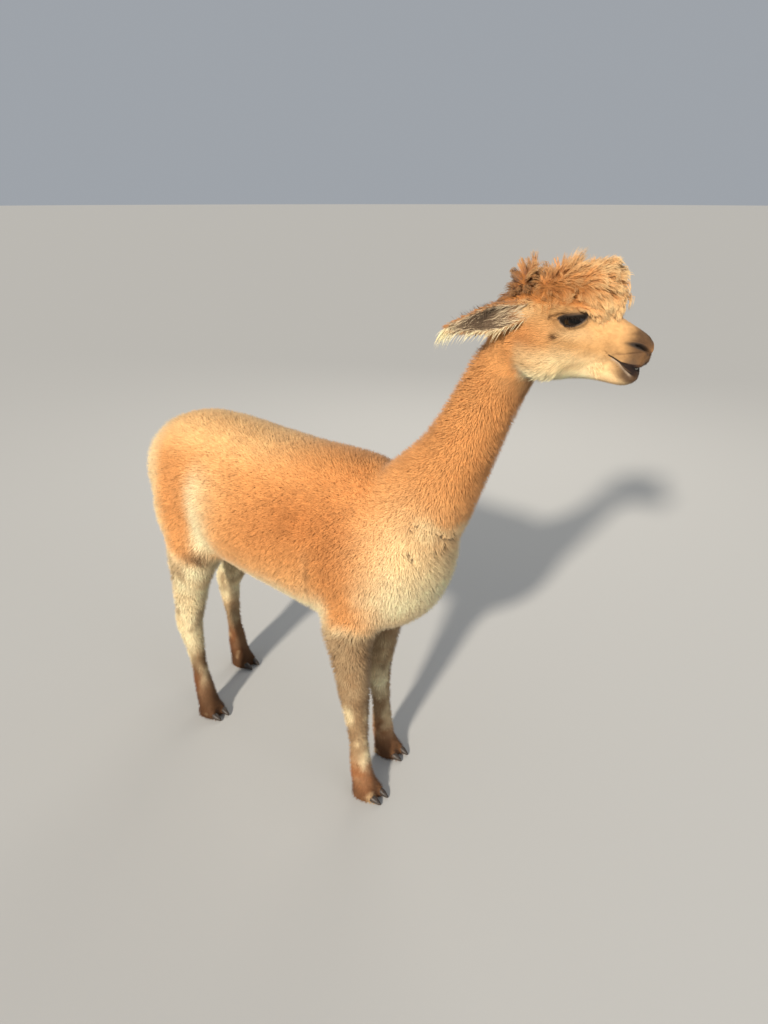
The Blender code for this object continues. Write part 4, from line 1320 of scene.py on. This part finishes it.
def topknot(skin, rng, materials):
    """Long wavy hair in pointed staples, combed forward and back from a ridge between the ears, with
    painted shade in the gaps and a painted highlight on the upper and front tips.
    """
    _, points, triangles, normals = skin
    roots, facing = scatter(points, triangles, normals, crown_density, rng)
    head = to_head(roots)
    out = facing @ HEAD_AXES.T
    count = len(head)
    chosen = rng.random(count) < STAPLES
    staples, staple_out = head[chosen], out[chosen]
    nearest = nearest_to(staples, head)
    # Each staple has its own way, length, tone and height above the others.
    x, y, z = staples.T
    many = len(staples)
    front = ramp(-0.010, 0.040, x)
    top = ramp(0.048, 0.078, z)
    along_ridge = np.clip((x + 0.118) / 0.044, 0, 1)
    ridge = np.stack((-0.118 + 0.044 * along_ridge, y, 0.038 + 0.020 * along_ridge), axis=1)
    from_ridge = staples - ridge
    clear = ramp(0.003, 0.020 + 0.032 * top, np.linalg.norm(from_ridge, axis=1))
    loose = (rng.random(many) < 0.18) * 1.0
    settled = (clear * (1 - 0.6 * loose))[:, None]
    own_way = rng.normal(size=(many, 3)) * (0.12 + 0.40 * (1 - settled))
    way = (0.38 + 0.35 * (1 - settled)) * staple_out + 0.90 * settled * unit(from_ridge) + own_way
    way = unit(way + 0.34 * top[:, None] * np.array((0.35, 0, 1)))
    wispy = (rng.random(many) < 0.30) * np.maximum(top, front * ramp(0.02, 0.05, z))
    own_length = (0.034 + 0.028 * front + 0.008 * top) * rng.uniform(0.75, 1.20, many)
    own_length = own_length * (1 - 0.30 * loose)
    own_length *= 1 + 0.25 * wispy
    room = np.clip((z - 0.006) * 1.5, 0.020, 0.070) + 0.018 * front
    own_length = np.where(way[:, 2] < 0.15, np.minimum(own_length, room), own_length)
    # Painted shade: staples darker low at the back, by the ears and above the eyes.
    own_tone = rng.uniform(0.74, 1.26, many) * (1 - 0.32 * (1 - front) * (1 - top))
    shade_by_ear = ball(folded(staples), (-0.110, 0.045, 0.040), (0.040, 0.040, 0.022))
    shade_over_eye = ball(folded(staples), (-0.025, 0.056, 0.066), (0.034, 0.03, 0.016))
    own_tone *= 1 - 0.40 * shade_by_ear - 0.35 * shade_over_eye
    filled = ball(staples, (-0.048, 0, 0.090), (0.034, 0.08, 0.034))
    own_limit = rng.uniform(0.88, 1.05, many) + 0.10 * top + 0.17 * filled
    own_limit = own_limit + wispy * rng.uniform(0.05, 0.20, many)
    # The locks of a staple share these, with a little of their own.
    length = own_length[nearest] * rng.uniform(0.75, 1.08, count)
    direction = unit(way[nearest] + 0.07 * rng.normal(size=(count, 3)))
    droop = 0.25 + 0.75 * front[nearest] * (1 - top[nearest]) + 0.25 * (z < 0.05)[nearest]
    strays = rng.random(count) < 0.07
    limit = own_limit[nearest] + rng.normal(0, 0.015, count) + 0.16 * strays * rng.random(count)
    steps = 5
    paths = combed(head - out * 0.003, direction, length, droop, limit, steps)
    wave = (0.0012 + 0.0022 * rng.random(many))[nearest]
    paths = waved(paths, direction, wave, rng.uniform(0.35, 0.85, many)[nearest], rng)
    share = np.linspace(0, 1, steps)[None, :, None]
    apart = head - staples[nearest]
    gathered = np.where(strays, -0.3, 0.50 + 0.24 * ramp(0.028, 0.055, z)[nearest])
    paths = paths - apart[:, None] * gathered[:, None, None] * share**1.2
    brow = ramp(-0.050, -0.020, x) * (1 - ramp(0.040, 0.055, z))
    # Darker roots, locks darker away from the middle of their staple as painted shade in the gaps, and
    # tips paler at the top and front, partly the wool's own colour and partly a painted highlight.
    pale = 0.05 + (0.65 * front + 0.45 * top + 0.35 * wispy + 0.30 * brow)[nearest]
    depth = np.clip(np.linalg.norm(apart, axis=1) / 0.006, 0, 1)
    light = own_tone[nearest] * (1.12 - 0.34 * depth) * rng.uniform(0.88, 1.12, count)
    base, wool = (np.array(colour) * light[:, None] for colour in (WOOL_ROOT, WOOL))
    mid = mix(wool, WOOL_TIP, 0.32 * pale)
    end = mix(wool, WOOL_TIP, 0.15 + 0.80 * pale)
    shading = unit(unit(paths[:, -1] - np.array((-0.03, 0, -0.01))) @ HEAD_AXES)
    radii = rng.uniform(0.00048, 0.00080, count)
    arrays = (from_head(paths), radii, shading, base, mid, end, chart(roots, *CHARTS["head"]))
    in_front, at_back = head[:, 0] > -0.008, head[:, 0] <= -0.085
    regions = {
        "topknot_front": in_front,
        "topknot_middle": ~in_front & ~at_back,
        "topknot_back": at_back,
    }
    for name, mine in regions.items():
        made = locks(*[array[mine] for array in arrays])
        obj = coat_piece(name, *made, materials["wool"], "topknot_coat")
        if name == "topknot_front":
            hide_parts("topknot")


def ear_places(side, rng, count, reach, wrapped, inside, rim=1):
    """Random places on an ear, within a reach of its length and of its wrap."""
    t = rng.uniform(*reach, count)
    angle = math.pi + rim * ear_wrap(t) * rng.uniform(*wrapped, count)
    return t, angle, ear_point(side, t, angle, inside)


def inner_ear_hair(side, rng):
    """Long grey hair from the root towards the tip, paler by the root and the rims."""
    count = 700
    _, along, opens, _ = ear_axes(side)
    t, angle, start = ear_places(side, rng, count, (0.02, 0.86), (-0.92, 0.92), EAR_WALL)
    ways = unit(along + 0.35 * opens + 0.20 * rng.normal(size=(count, 3)))
    near_rim = np.abs(angle - math.pi) / ear_wrap(t)
    pale = 0.70 * (rng.random(count) < 0.22 + 0.6 * near_rim**2) + 0.4 * ramp(0.6, 0.95, t)
    pale += 0.80 * (1 - ramp(0.22, 0.48, t))
    shade = mix(plain(EAR_INSIDE, count), EAR_HAIR, pale)
    return start, ways, rng.uniform(0.012, 0.024, count), shade, 0.1


def ear_rim_hair(side, rim, rng):
    """Short dark hair along the upper rim, and a long pale fringe along the lower one."""
    count = 520
    _, along, opens, _ = ear_axes(side)
    _, _, start = ear_places(side, rng, count, (0.03, 0.97), (0.90, 1.0), EAR_WALL * 0.5, rim)
    angles = math.pi + rim * np.array((1.5, -1.5))
    this_rim, other_rim = ear_point(side, np.full(2, 0.5), angles)[:, 2]
    hanging = this_rim < other_rim
    ways = along * 0.9 + opens * (0.25 if hanging else 0.10)
    ways = unit(ways + 0.22 * rng.normal(size=(count, 3)))
    long_ones = (rng.random(count) < 0.16) & hanging
    cream = (0.55 if hanging else 0.20) * rng.random(count) + 0.5 * long_ones
    shade = mix(plain(EAR_BACK, count), PALE_CREAM, cream)
    fringe, short = rng.uniform(0.016, 0.030, count), rng.uniform(0.006, 0.010, count)
    return start, ways, np.where(long_ones, fringe, short), shade, 0.60 if hanging else 0.10


def ear_back_hair(side, rng):
    """Short hair over the back of the ear."""
    count = 1100
    root, along, _, _ = ear_axes(side)
    t, _, start = ear_places(side, rng, count, (0.0, 0.98), (-1, 1), 0.0005)
    outward = unit(start - (root + along * (EAR_LENGTH * t)[:, None]))
    ways = unit(along + 0.35 * outward + 0.12 * rng.normal(size=(count, 3)))
    shade = mix(plain(EAR_BACK, count), FAWN, 0.4 * rng.random(count))
    return start, ways, rng.uniform(0.008, 0.013, count), shade, 0.05


def ear_tip_hair(side, rng):
    """A white tuft that hangs from the tip."""
    count = 110
    _, along, _, _ = ear_axes(side)
    t = rng.uniform(0.86, 1.0, count)
    start = ear_point(side, t, math.pi + rng.uniform(-0.9, 0.9, count), 0.001)
    ways = unit(along + 0.25 * rng.normal(size=(count, 3)) - np.array((0, 0, 0.25)))
    shade = plain(PALE_CREAM, count) * rng.uniform(0.75, 1.05, count)[:, None]
    return start, ways, rng.uniform(0.016, 0.028, count), shade, 0.9


def ear_locks(rng, materials):
    """The hair in and round each ear, as one piece."""
    for name, side in SIDES.items():
        _, _, opens, _ = ear_axes(side)
        sets = [inner_ear_hair(side, rng)]
        sets += [ear_rim_hair(side, rim, rng) for rim in (-1, 1)]
        sets += [ear_back_hair(side, rng), ear_tip_hair(side, rng)]
        pieces = []
        for start, ways, lengths, shade, droop in sets:
            turns = rng.uniform(0.3, 0.8, len(start))
            paths = curls(start - ways * 0.001, ways, lengths, droop, 0.0012, turns, 4, rng)
            facing = unit(opens * 0.7 + 0.3 * ways) @ HEAD_AXES
            radii = rng.uniform(0.0005, 0.0008, len(start))
            # Darker roots and paler tips: partly the hair's own colour, partly painted shade within the
            # hair and painted highlight on the tips.
            colours = (shade * 0.55, shade * 0.95, np.clip(shade * 1.2, 0, 1))
            places = chart(from_head(start), *CHARTS["head"])
            pieces.append(locks(from_head(paths), radii, facing, *colours, places))
        coat_piece(f"ear_hair_{name}", *joined(pieces), materials["fur"], "ear_coat")


def joined(pieces):
    """Several sets of tufts as one."""
    offset, faces = 0, []
    for piece in pieces:
        faces.append(piece[1] + offset)
        offset += len(piece[0])
    stacked = [np.vstack([piece[k] for piece in pieces]) for k in (0, 2, 3, 4)]
    return stacked[0], np.vstack(faces), stacked[1], stacked[2], stacked[3]


def cheek_density(points):
    """Longer hair below the corners of the mouth and under the cheeks."""
    near = folded(to_head(points))
    corner = ball(near, (0.036, 0.032, -0.082), (0.018, 0.018, 0.018))
    cheek = ball(near, (-0.045, 0.052, -0.088), (0.035, 0.030, 0.022))
    return head_share(points) * (70_000 * (corner > 0.45) + 60_000 * (cheek > 0.45))


def tail_density(points):
    x, y, z = points.T
    return np.where((x < -0.595) & (np.abs(y) < 0.05) & (z > 0.55), 55_000.0, 0.0)


def cheek_locks(skin, rng, materials):
    """Longer locks under the cheeks and below the corners of the mouth."""
    _, points, triangles, normals = skin
    roots, facing = scatter(points, triangles, normals, cheek_density, rng)
    count = len(roots)
    at_corner = folded(to_head(roots))[:, 0] > 0.01
    short, long = rng.uniform(0.007, 0.013, count), rng.uniform(0.011, 0.019, count)
    forward = np.where(at_corner, 1, 0)[:, None] * np.array((2.0, 0, -0.45))
    ways = unit(0.45 * facing + lie_of_coat(roots, facing) + forward)
    lengths = np.where(at_corner, short, long)
    paths = curls(roots - facing * 0.001, ways, lengths, 0.25, 0.0008, 0.6, 5, rng)
    shade = coat_colour(roots) * rng.uniform(0.8, 1.15, count)[:, None]
    # Darker roots and paler tips: partly the hair's own colour, partly painted shade within the hair
    # and painted highlight on the tips.
    colours = (shade * 0.5, shade, np.clip(shade * 1.25, 0, 1))
    made = locks(paths, 0.0008, facing, *colours, chart(roots, *CHARTS["head"]))
    coat_piece("cheek_locks", *made, materials["fur"], "face_coat")


def tail_locks(skin, rng, materials):
    """The tail's curtain of pale locks."""
    _, points, triangles, normals = skin
    roots, facing = scatter(points, triangles, normals, tail_density, rng)
    count = len(roots)
    ways = 0.55 * facing + np.array((-0.10, 0.0, -0.85))
    ways = unit(ways + 0.15 * rng.normal(size=(count, 3)))
    lengths = rng.uniform(0.018, 0.034, count)
    turns = rng.uniform(0.5, 1.2, count)
    paths = curls(roots - facing * 0.002, ways, lengths, 0.3, 0.0018, turns, 5, rng)
    shade = mix(coat_colour(roots), CREAM, np.full(count, 0.4))
    shade = shade * rng.uniform(0.8, 1.15, count)[:, None]
    # Darker roots and paler tips: partly the hair's own colour, partly painted shade within the hair
    # and painted highlight on the tips.
    colours = (shade * 0.5, shade, np.clip(shade * 1.2, 0, 1))
    made = locks(paths, 0.0012, facing, *colours, chart(roots, *CHARTS["tail"]))
    coat_piece("tail_locks", *made, materials["wool"], "body_coat")


# --- Eyes, lashes, teeth, nails -------------------------------------------------------------------
def eyes(materials):
    """Balls with a bulging cornea; the attribute says how far across and up from the pupil."""
    for name, side in SIDES.items():
        bm = bmesh.new()
        bmesh.ops.create_uvsphere(bm, u_segments=64, v_segments=40, radius=1.0)
        mesh = bpy.data.meshes.new(f"eyeball_{name}")
        bm.to_mesh(mesh)
        bm.free()
        points = points_of(mesh)
        gaze = unit(np.array((0.16, side, -0.06)))
        level = np.array((0.0, 0.0, 1.0))
        up = unit(level - gaze * (level @ gaze))
        aside = np.cross(gaze, up)
        facing = points @ gaze
        bulge = 1 + 0.045 * ramp(0.72, 0.98, facing)
        seen = np.stack((points @ aside, points @ up, facing), axis=1)
        head = points * np.array(EYE_RADII) * bulge[:, None] + np.array((0, side * EYE_OUT, 0))
        move_points(mesh, from_head(head))
        attribute = mesh.attributes.new("gaze", "FLOAT_VECTOR", "POINT")
        attribute.data.foreach_set("vector", seen.astype(np.float32).ravel())
        mesh.shade_smooth()
        mesh.materials.append(materials["eye"])
        obj = placed(f"eyeball_{name}", mesh)
        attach(obj, "root")
        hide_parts(f"eye_{name}")


def lashes(rng, materials):
    """Long lashes from the upper lids, out, forward and down, and short ones below."""
    for name, side in SIDES.items():
        count = 170
        x = rng.uniform(-0.90, 0.96, count) * OPENING_HALF_WIDTH
        arch = np.sqrt(np.clip(1 - (x / OPENING_HALF_WIDTH) ** 2, 0, 1))
        up = np.arange(count) % 4 != 0
        z = np.where(up, OPENING_UP * arch + 0.0008, -OPENING_DOWN * arch - 0.0008) + lid_level(x)
        head = np.stack((x + OPENING_MIDDLE, np.zeros(count), z), axis=1)
        head[:, 1] = eyeball_out(head) + 0.0012
        forward = 0.45 + x / OPENING_HALF_WIDTH * 0.55
        way = np.stack((forward, np.full(count, 0.95), np.where(up, 0.12, -0.45)), axis=1)
        way = unit(way + 0.16 * rng.normal(size=(count, 3)))
        upper, lower = rng.uniform(0.010, 0.018, count), rng.uniform(0.003, 0.006, count)
        length = np.where(up, upper, lower)
        mirror = np.array((1, side, 1))
        droop = np.where(up, 0.30, 0.15)
        paths = curls(head * mirror, way * mirror, length, droop, 0.0003, 0.3, 5, rng)
        facing = unit(plain(np.array((0, side, 0.3)) @ HEAD_AXES, count))
        dark = plain(LASH, count)
        places = chart(from_head(head * mirror), *CHARTS["head"])
        made = locks(from_head(paths), 0.00036, facing, dark, dark, dark * 1.6, places)
        coat_piece(f"lashes_{name}", *made, materials["fur"], "face_coat")


def rounded_copy(name, node, material):
    """A copy of a CAD solid, closed along its sharp edges, rounded and in its own material."""
    obj = placed(name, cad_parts[node].data.copy())
    bm = bmesh.new()
    bm.from_mesh(obj.data)
    bmesh.ops.remove_doubles(bm, verts=bm.verts, dist=0.00001)
    bm.to_mesh(obj.data)
    bm.free()
    smooth = obj.modifiers.new("Round", "SUBSURF")
    smooth.levels = smooth.render_levels = 2
    evaluated(obj)
    obj.data.shade_smooth()
    obj.data.materials.clear()
    obj.data.materials.append(material)
    return obj


def teeth(materials):
    """The lower front teeth: wider than their solid, and nearer the lip."""
    obj = rounded_copy("teeth", "lower_incisors", materials["tooth"])
    points = to_head(points_of(obj.data)) * np.array((1.00, 1.25, 1.00))
    move_points(obj.data, from_head(points + np.array((0.0040, 0, -0.0040))))
    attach(obj, "root")
    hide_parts("lower_incisors")


def nails(materials):
    for node in sorted(NAILS):
        obj = rounded_copy(node.replace("nail_", "toenail_"), node, materials["nail"])
        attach(obj, "root")
        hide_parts(node)


# --- Materials ------------------------------------------------------------------------------------
def new_material(name, **values):
    material = bpy.data.materials.new(name)
    material.use_nodes = True
    shader = material.node_tree.nodes["Principled BSDF"]
    for socket, value in values.items():
        shader.inputs[socket.replace("_", " ")].default_value = value
    return material, material.node_tree, shader


def add_node(tree, kind, **settings):
    """A new node; each setting is the value of the socket of that name, or else of a property."""
    node = tree.nodes.new(f"ShaderNode{kind}")
    for name, value in settings.items():
        socket = node.inputs.get(name.replace("_", " "))
        if socket is None:
            setattr(node, name, value)
        else:
            socket.default_value = value
    return node


def link(tree, *links):
    """Links nodes, each link given as (node, output, node, input)."""
    for source, output, node, socket in links:
        tree.links.new(source.outputs[output], node.inputs[socket])


def blended(tree, *stops):
    """A colour ramp through (position, colour) stops."""
    node = add_node(tree, "ValToRGB")
    elements = node.color_ramp.elements
    for k, (position, colour) in enumerate(stops):
        if k >= len(elements):
            elements.new(position)
        elements[k].position = position
        elements[k].color = (*colour, 1)
    return node


def painted(name, grain, bump=0.0, **values):
    """A material coloured by the points' paint, with a little noise in its tone and a bump."""
    material, tree, shader = new_material(name, **values)
    paint = add_node(tree, "Attribute", attribute_name="coat")
    place = add_node(tree, "TexCoord")
    mottle = add_node(tree, "TexNoise", Scale=160.0, Detail=4.0)
    tone = add_node(tree, "MapRange", To_Min=1 - grain, To_Max=1 + grain)
    toned = add_node(tree, "VectorMath", operation="SCALE")
    link(
        tree,
        (place, "Object", mottle, "Vector"),
        (mottle, "Fac", tone, "Value"),
        (paint, "Color", toned, 0),
        (tone, "Result", toned, "Scale"),
        (toned, "Vector", shader, "Base Color"),
    )
    if bump:
        grains = add_node(tree, "TexNoise", Scale=420.0, Detail=3.0)
        raised = add_node(tree, "Bump", Strength=bump, Distance=0.002)
        link(
            tree,
            (place, "Object", grains, "Vector"),
            (grains, "Fac", raised, "Height"),
            (raised, "Normal", shader, "Normal"),
        )
    return material


def eye_material():
    """Near-black brown iris with radial streaks round a wide level pupil, under a wet cornea."""
    material, tree, shader = new_material("eye", Roughness=0.05, IOR=1.33)

    def maths(operation, first, second=None):
        node = add_node(tree, "Math", operation=operation)
        for socket, value in zip(node.inputs, (first, second)):
            if isinstance(value, (int, float)):
                socket.default_value = value
            elif value is not None:
                tree.links.new(value, socket)
        return node.outputs[0]

    seen = add_node(tree, "Attribute", attribute_name="gaze")
    split = add_node(tree, "SeparateXYZ")
    link(tree, (seen, "Vector", split, "Vector"))
    across, up = split.outputs["X"], split.outputs["Y"]
    squares = [maths("POWER", maths("ABSOLUTE", part), 2) for part in (across, up)]
    radius = maths("SQRT", maths("ADD", *squares))
    wide = maths("POWER", maths("ABSOLUTE", maths("DIVIDE", across, 0.40)), 2.6)
    high = maths("POWER", maths("ABSOLUTE", maths("DIVIDE", up, 0.17)), 2.6)
    place = add_node(tree, "CombineXYZ")
    tree.links.new(maths("MULTIPLY", maths("ARCTAN2", up, across), 2.5), place.inputs["X"])
    tree.links.new(maths("MULTIPLY", radius, 0.8), place.inputs["Y"])
    streaks = add_node(tree, "TexNoise", Scale=9.0, Detail=5.0)
    iris, edge, white = (0.012, 0.006, 0.003), (0.005, 0.003, 0.0025), (0.010, 0.007, 0.005)
    ring = blended(tree, (0.30, iris), (0.72, edge), (0.93, white))
    tree.links.new(radius, ring.inputs["Fac"])
    streaked = add_node(tree, "VectorMath", operation="SCALE")
    pupil = add_node(tree, "MapRange", From_Min=0.8, From_Max=1.3, To_Min=0.08)
    tree.links.new(maths("ADD", wide, high), pupil.inputs["Value"])
    darkened = add_node(tree, "VectorMath", operation="SCALE")
    link(
        tree,
        (place, "Vector", streaks, "Vector"),
        (ring, "Color", streaked, 0),
        (streaked, "Vector", darkened, 0),
        (pupil, "Result", darkened, "Scale"),
        (darkened, "Vector", shader, "Base Color"),
    )
    strength = maths("ADD", maths("MULTIPLY", streaks.outputs["Fac"], 1.6), 0.2)
    tree.links.new(strength, streaked.inputs["Scale"])
    return material


def grown_material(name, low, high, scale, stretch, **values):
    """Two tones in streaks or clouds, for keratin and enamel."""
    material, tree, shader = new_material(name, **values)
    place = add_node(tree, "TexCoord")
    mapping = add_node(tree, "Mapping", Scale=stretch)
    streaks = add_node(tree, "TexNoise", Scale=scale, Detail=5.0)
    tones = blended(tree, (0.35, low), (0.68, high))
    raised = add_node(tree, "Bump", Strength=0.35, Distance=0.001)
    link(
        tree,
        (place, "Object", mapping, "Vector"),
        (mapping, "Vector", streaks, "Vector"),
        (streaks, "Fac", tones, "Fac"),
        (tones, "Color", shader, "Base Color"),
        (streaks, "Fac", raised, "Height"),
        (raised, "Normal", shader, "Normal"),
    )
    return material


def make_materials():
    soft = {"Roughness": 0.85, "Sheen_Weight": 0.08, "Sheen_Roughness": 0.45}
    soft["Specular_IOR_Level"] = 0.25
    horn = ((0.016, 0.012, 0.010), (0.070, 0.052, 0.040))
    enamel = ((0.13, 0.11, 0.08), (0.28, 0.25, 0.19))
    return {
        "skin": painted("skin", 0.12, 0.5, Roughness=0.80, Specular_IOR_Level=0.25),
        "fleece": painted("fleece", 0.10, **soft),
        "fur": painted("fur", 0.08, **soft),
        "wool": painted("wool", 0.12, **soft),
        "eye": eye_material(),
        "nail": grown_material("nail", *horn, 90.0, (1, 4, 4), Roughness=0.5),
        "tooth": grown_material("tooth", *enamel, 220.0, (1, 1, 0.4), Roughness=0.25),
    }


def paint_skin(obj, points, materials):
    """The markings, with painted shade under the coat and in the partings."""
    # Painted shade: darker where the coat covers the skin, and nearly black down in the partings.
    shade_under_coat = ramp(0.0045, 0.011, tuft_length(points)) * (fur_density(points) > 20_000)
    colour = coat_colour(points) * (1 - 0.32 * shade_under_coat)[:, None]
    paint_points(obj.data, colour * (1 - 0.88 * parting(points, 0.001))[:, None])
    obj.data.materials.append(materials["skin"])
    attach(obj, "root")
    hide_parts(*FLESH, "ear_right", "ear_left")


# --- Stage ----------------------------------------------------------------------------------------
def aimed(obj, place, target):
    obj.location = place
    obj.rotation_mode = "QUATERNION"
    obj.rotation_quaternion = (Vector(target) - Vector(place)).to_track_quat("-Z", "Y")


def lamp(name, kind, place, target, power, colour, size):
    light = bpy.data.lights.new(name, kind)
    if kind == "SUN":
        light.angle = size
    else:
        light.shape = "DISK"
        light.size = size
    light.energy = power
    light.color = colour
    aimed(placed(name, light), place, target)


def make_stage():
    """A wide pale floor, a soft sun, two lamps and a pale surround."""
    corners = 96
    turns = np.arange(corners) * math.tau / corners
    rim = np.stack((FLOOR_RADIUS * np.cos(turns), FLOOR_RADIUS * np.sin(turns), 0 * turns), axis=1)
    floor = object_from("floor", rim, [range(corners)])
    material, _, _ = new_material("floor", Base_Color=(0.46, 0.455, 0.44, 1), Roughness=0.9)
    floor.data.materials.append(material)
    for values in LAMPS:
        lamp(*values)
    world = bpy.data.worlds.new("surround")
    world.use_nodes = True
    background = world.node_tree.nodes["Background"]
    background.inputs["Color"].default_value = (0.86, 0.92, 1.0, 1)
    background.inputs["Strength"].default_value = 0.40
    bpy.context.scene.world = world
    bpy.context.scene.view_settings.view_transform = "Standard"


def make_camera():
    """The height of a standing person's chest, before the right shoulder, looking down a little."""
    camera = placed("camera", bpy.data.cameras.new("camera"))
    camera.location = Vector(middle("eye_right")) + Vector(CAMERA_FROM_EYE)
    camera.rotation_euler = (math.radians(90 - CAMERA_LOOKS_DOWN), 0, math.radians(CAMERA_TURNED))
    camera.data.sensor_width = CAMERA_SENSOR
    camera.data.lens = CAMERA_LENS
    bpy.context.scene.camera = camera


def main():
    rng = np.random.default_rng(7)
    materials = make_materials()
    skin = make_skin()
    paint_skin(skin[0], skin[1], materials)
    short_pieces(skin, rng, materials)
    topknot(skin, rng, materials)
    ear_locks(rng, materials)
    cheek_locks(skin, rng, materials)
    tail_locks(skin, rng, materials)
    eyes(materials)
    lashes(rng, materials)
    teeth(materials)
    nails(materials)
    make_stage()
    make_camera()


main()
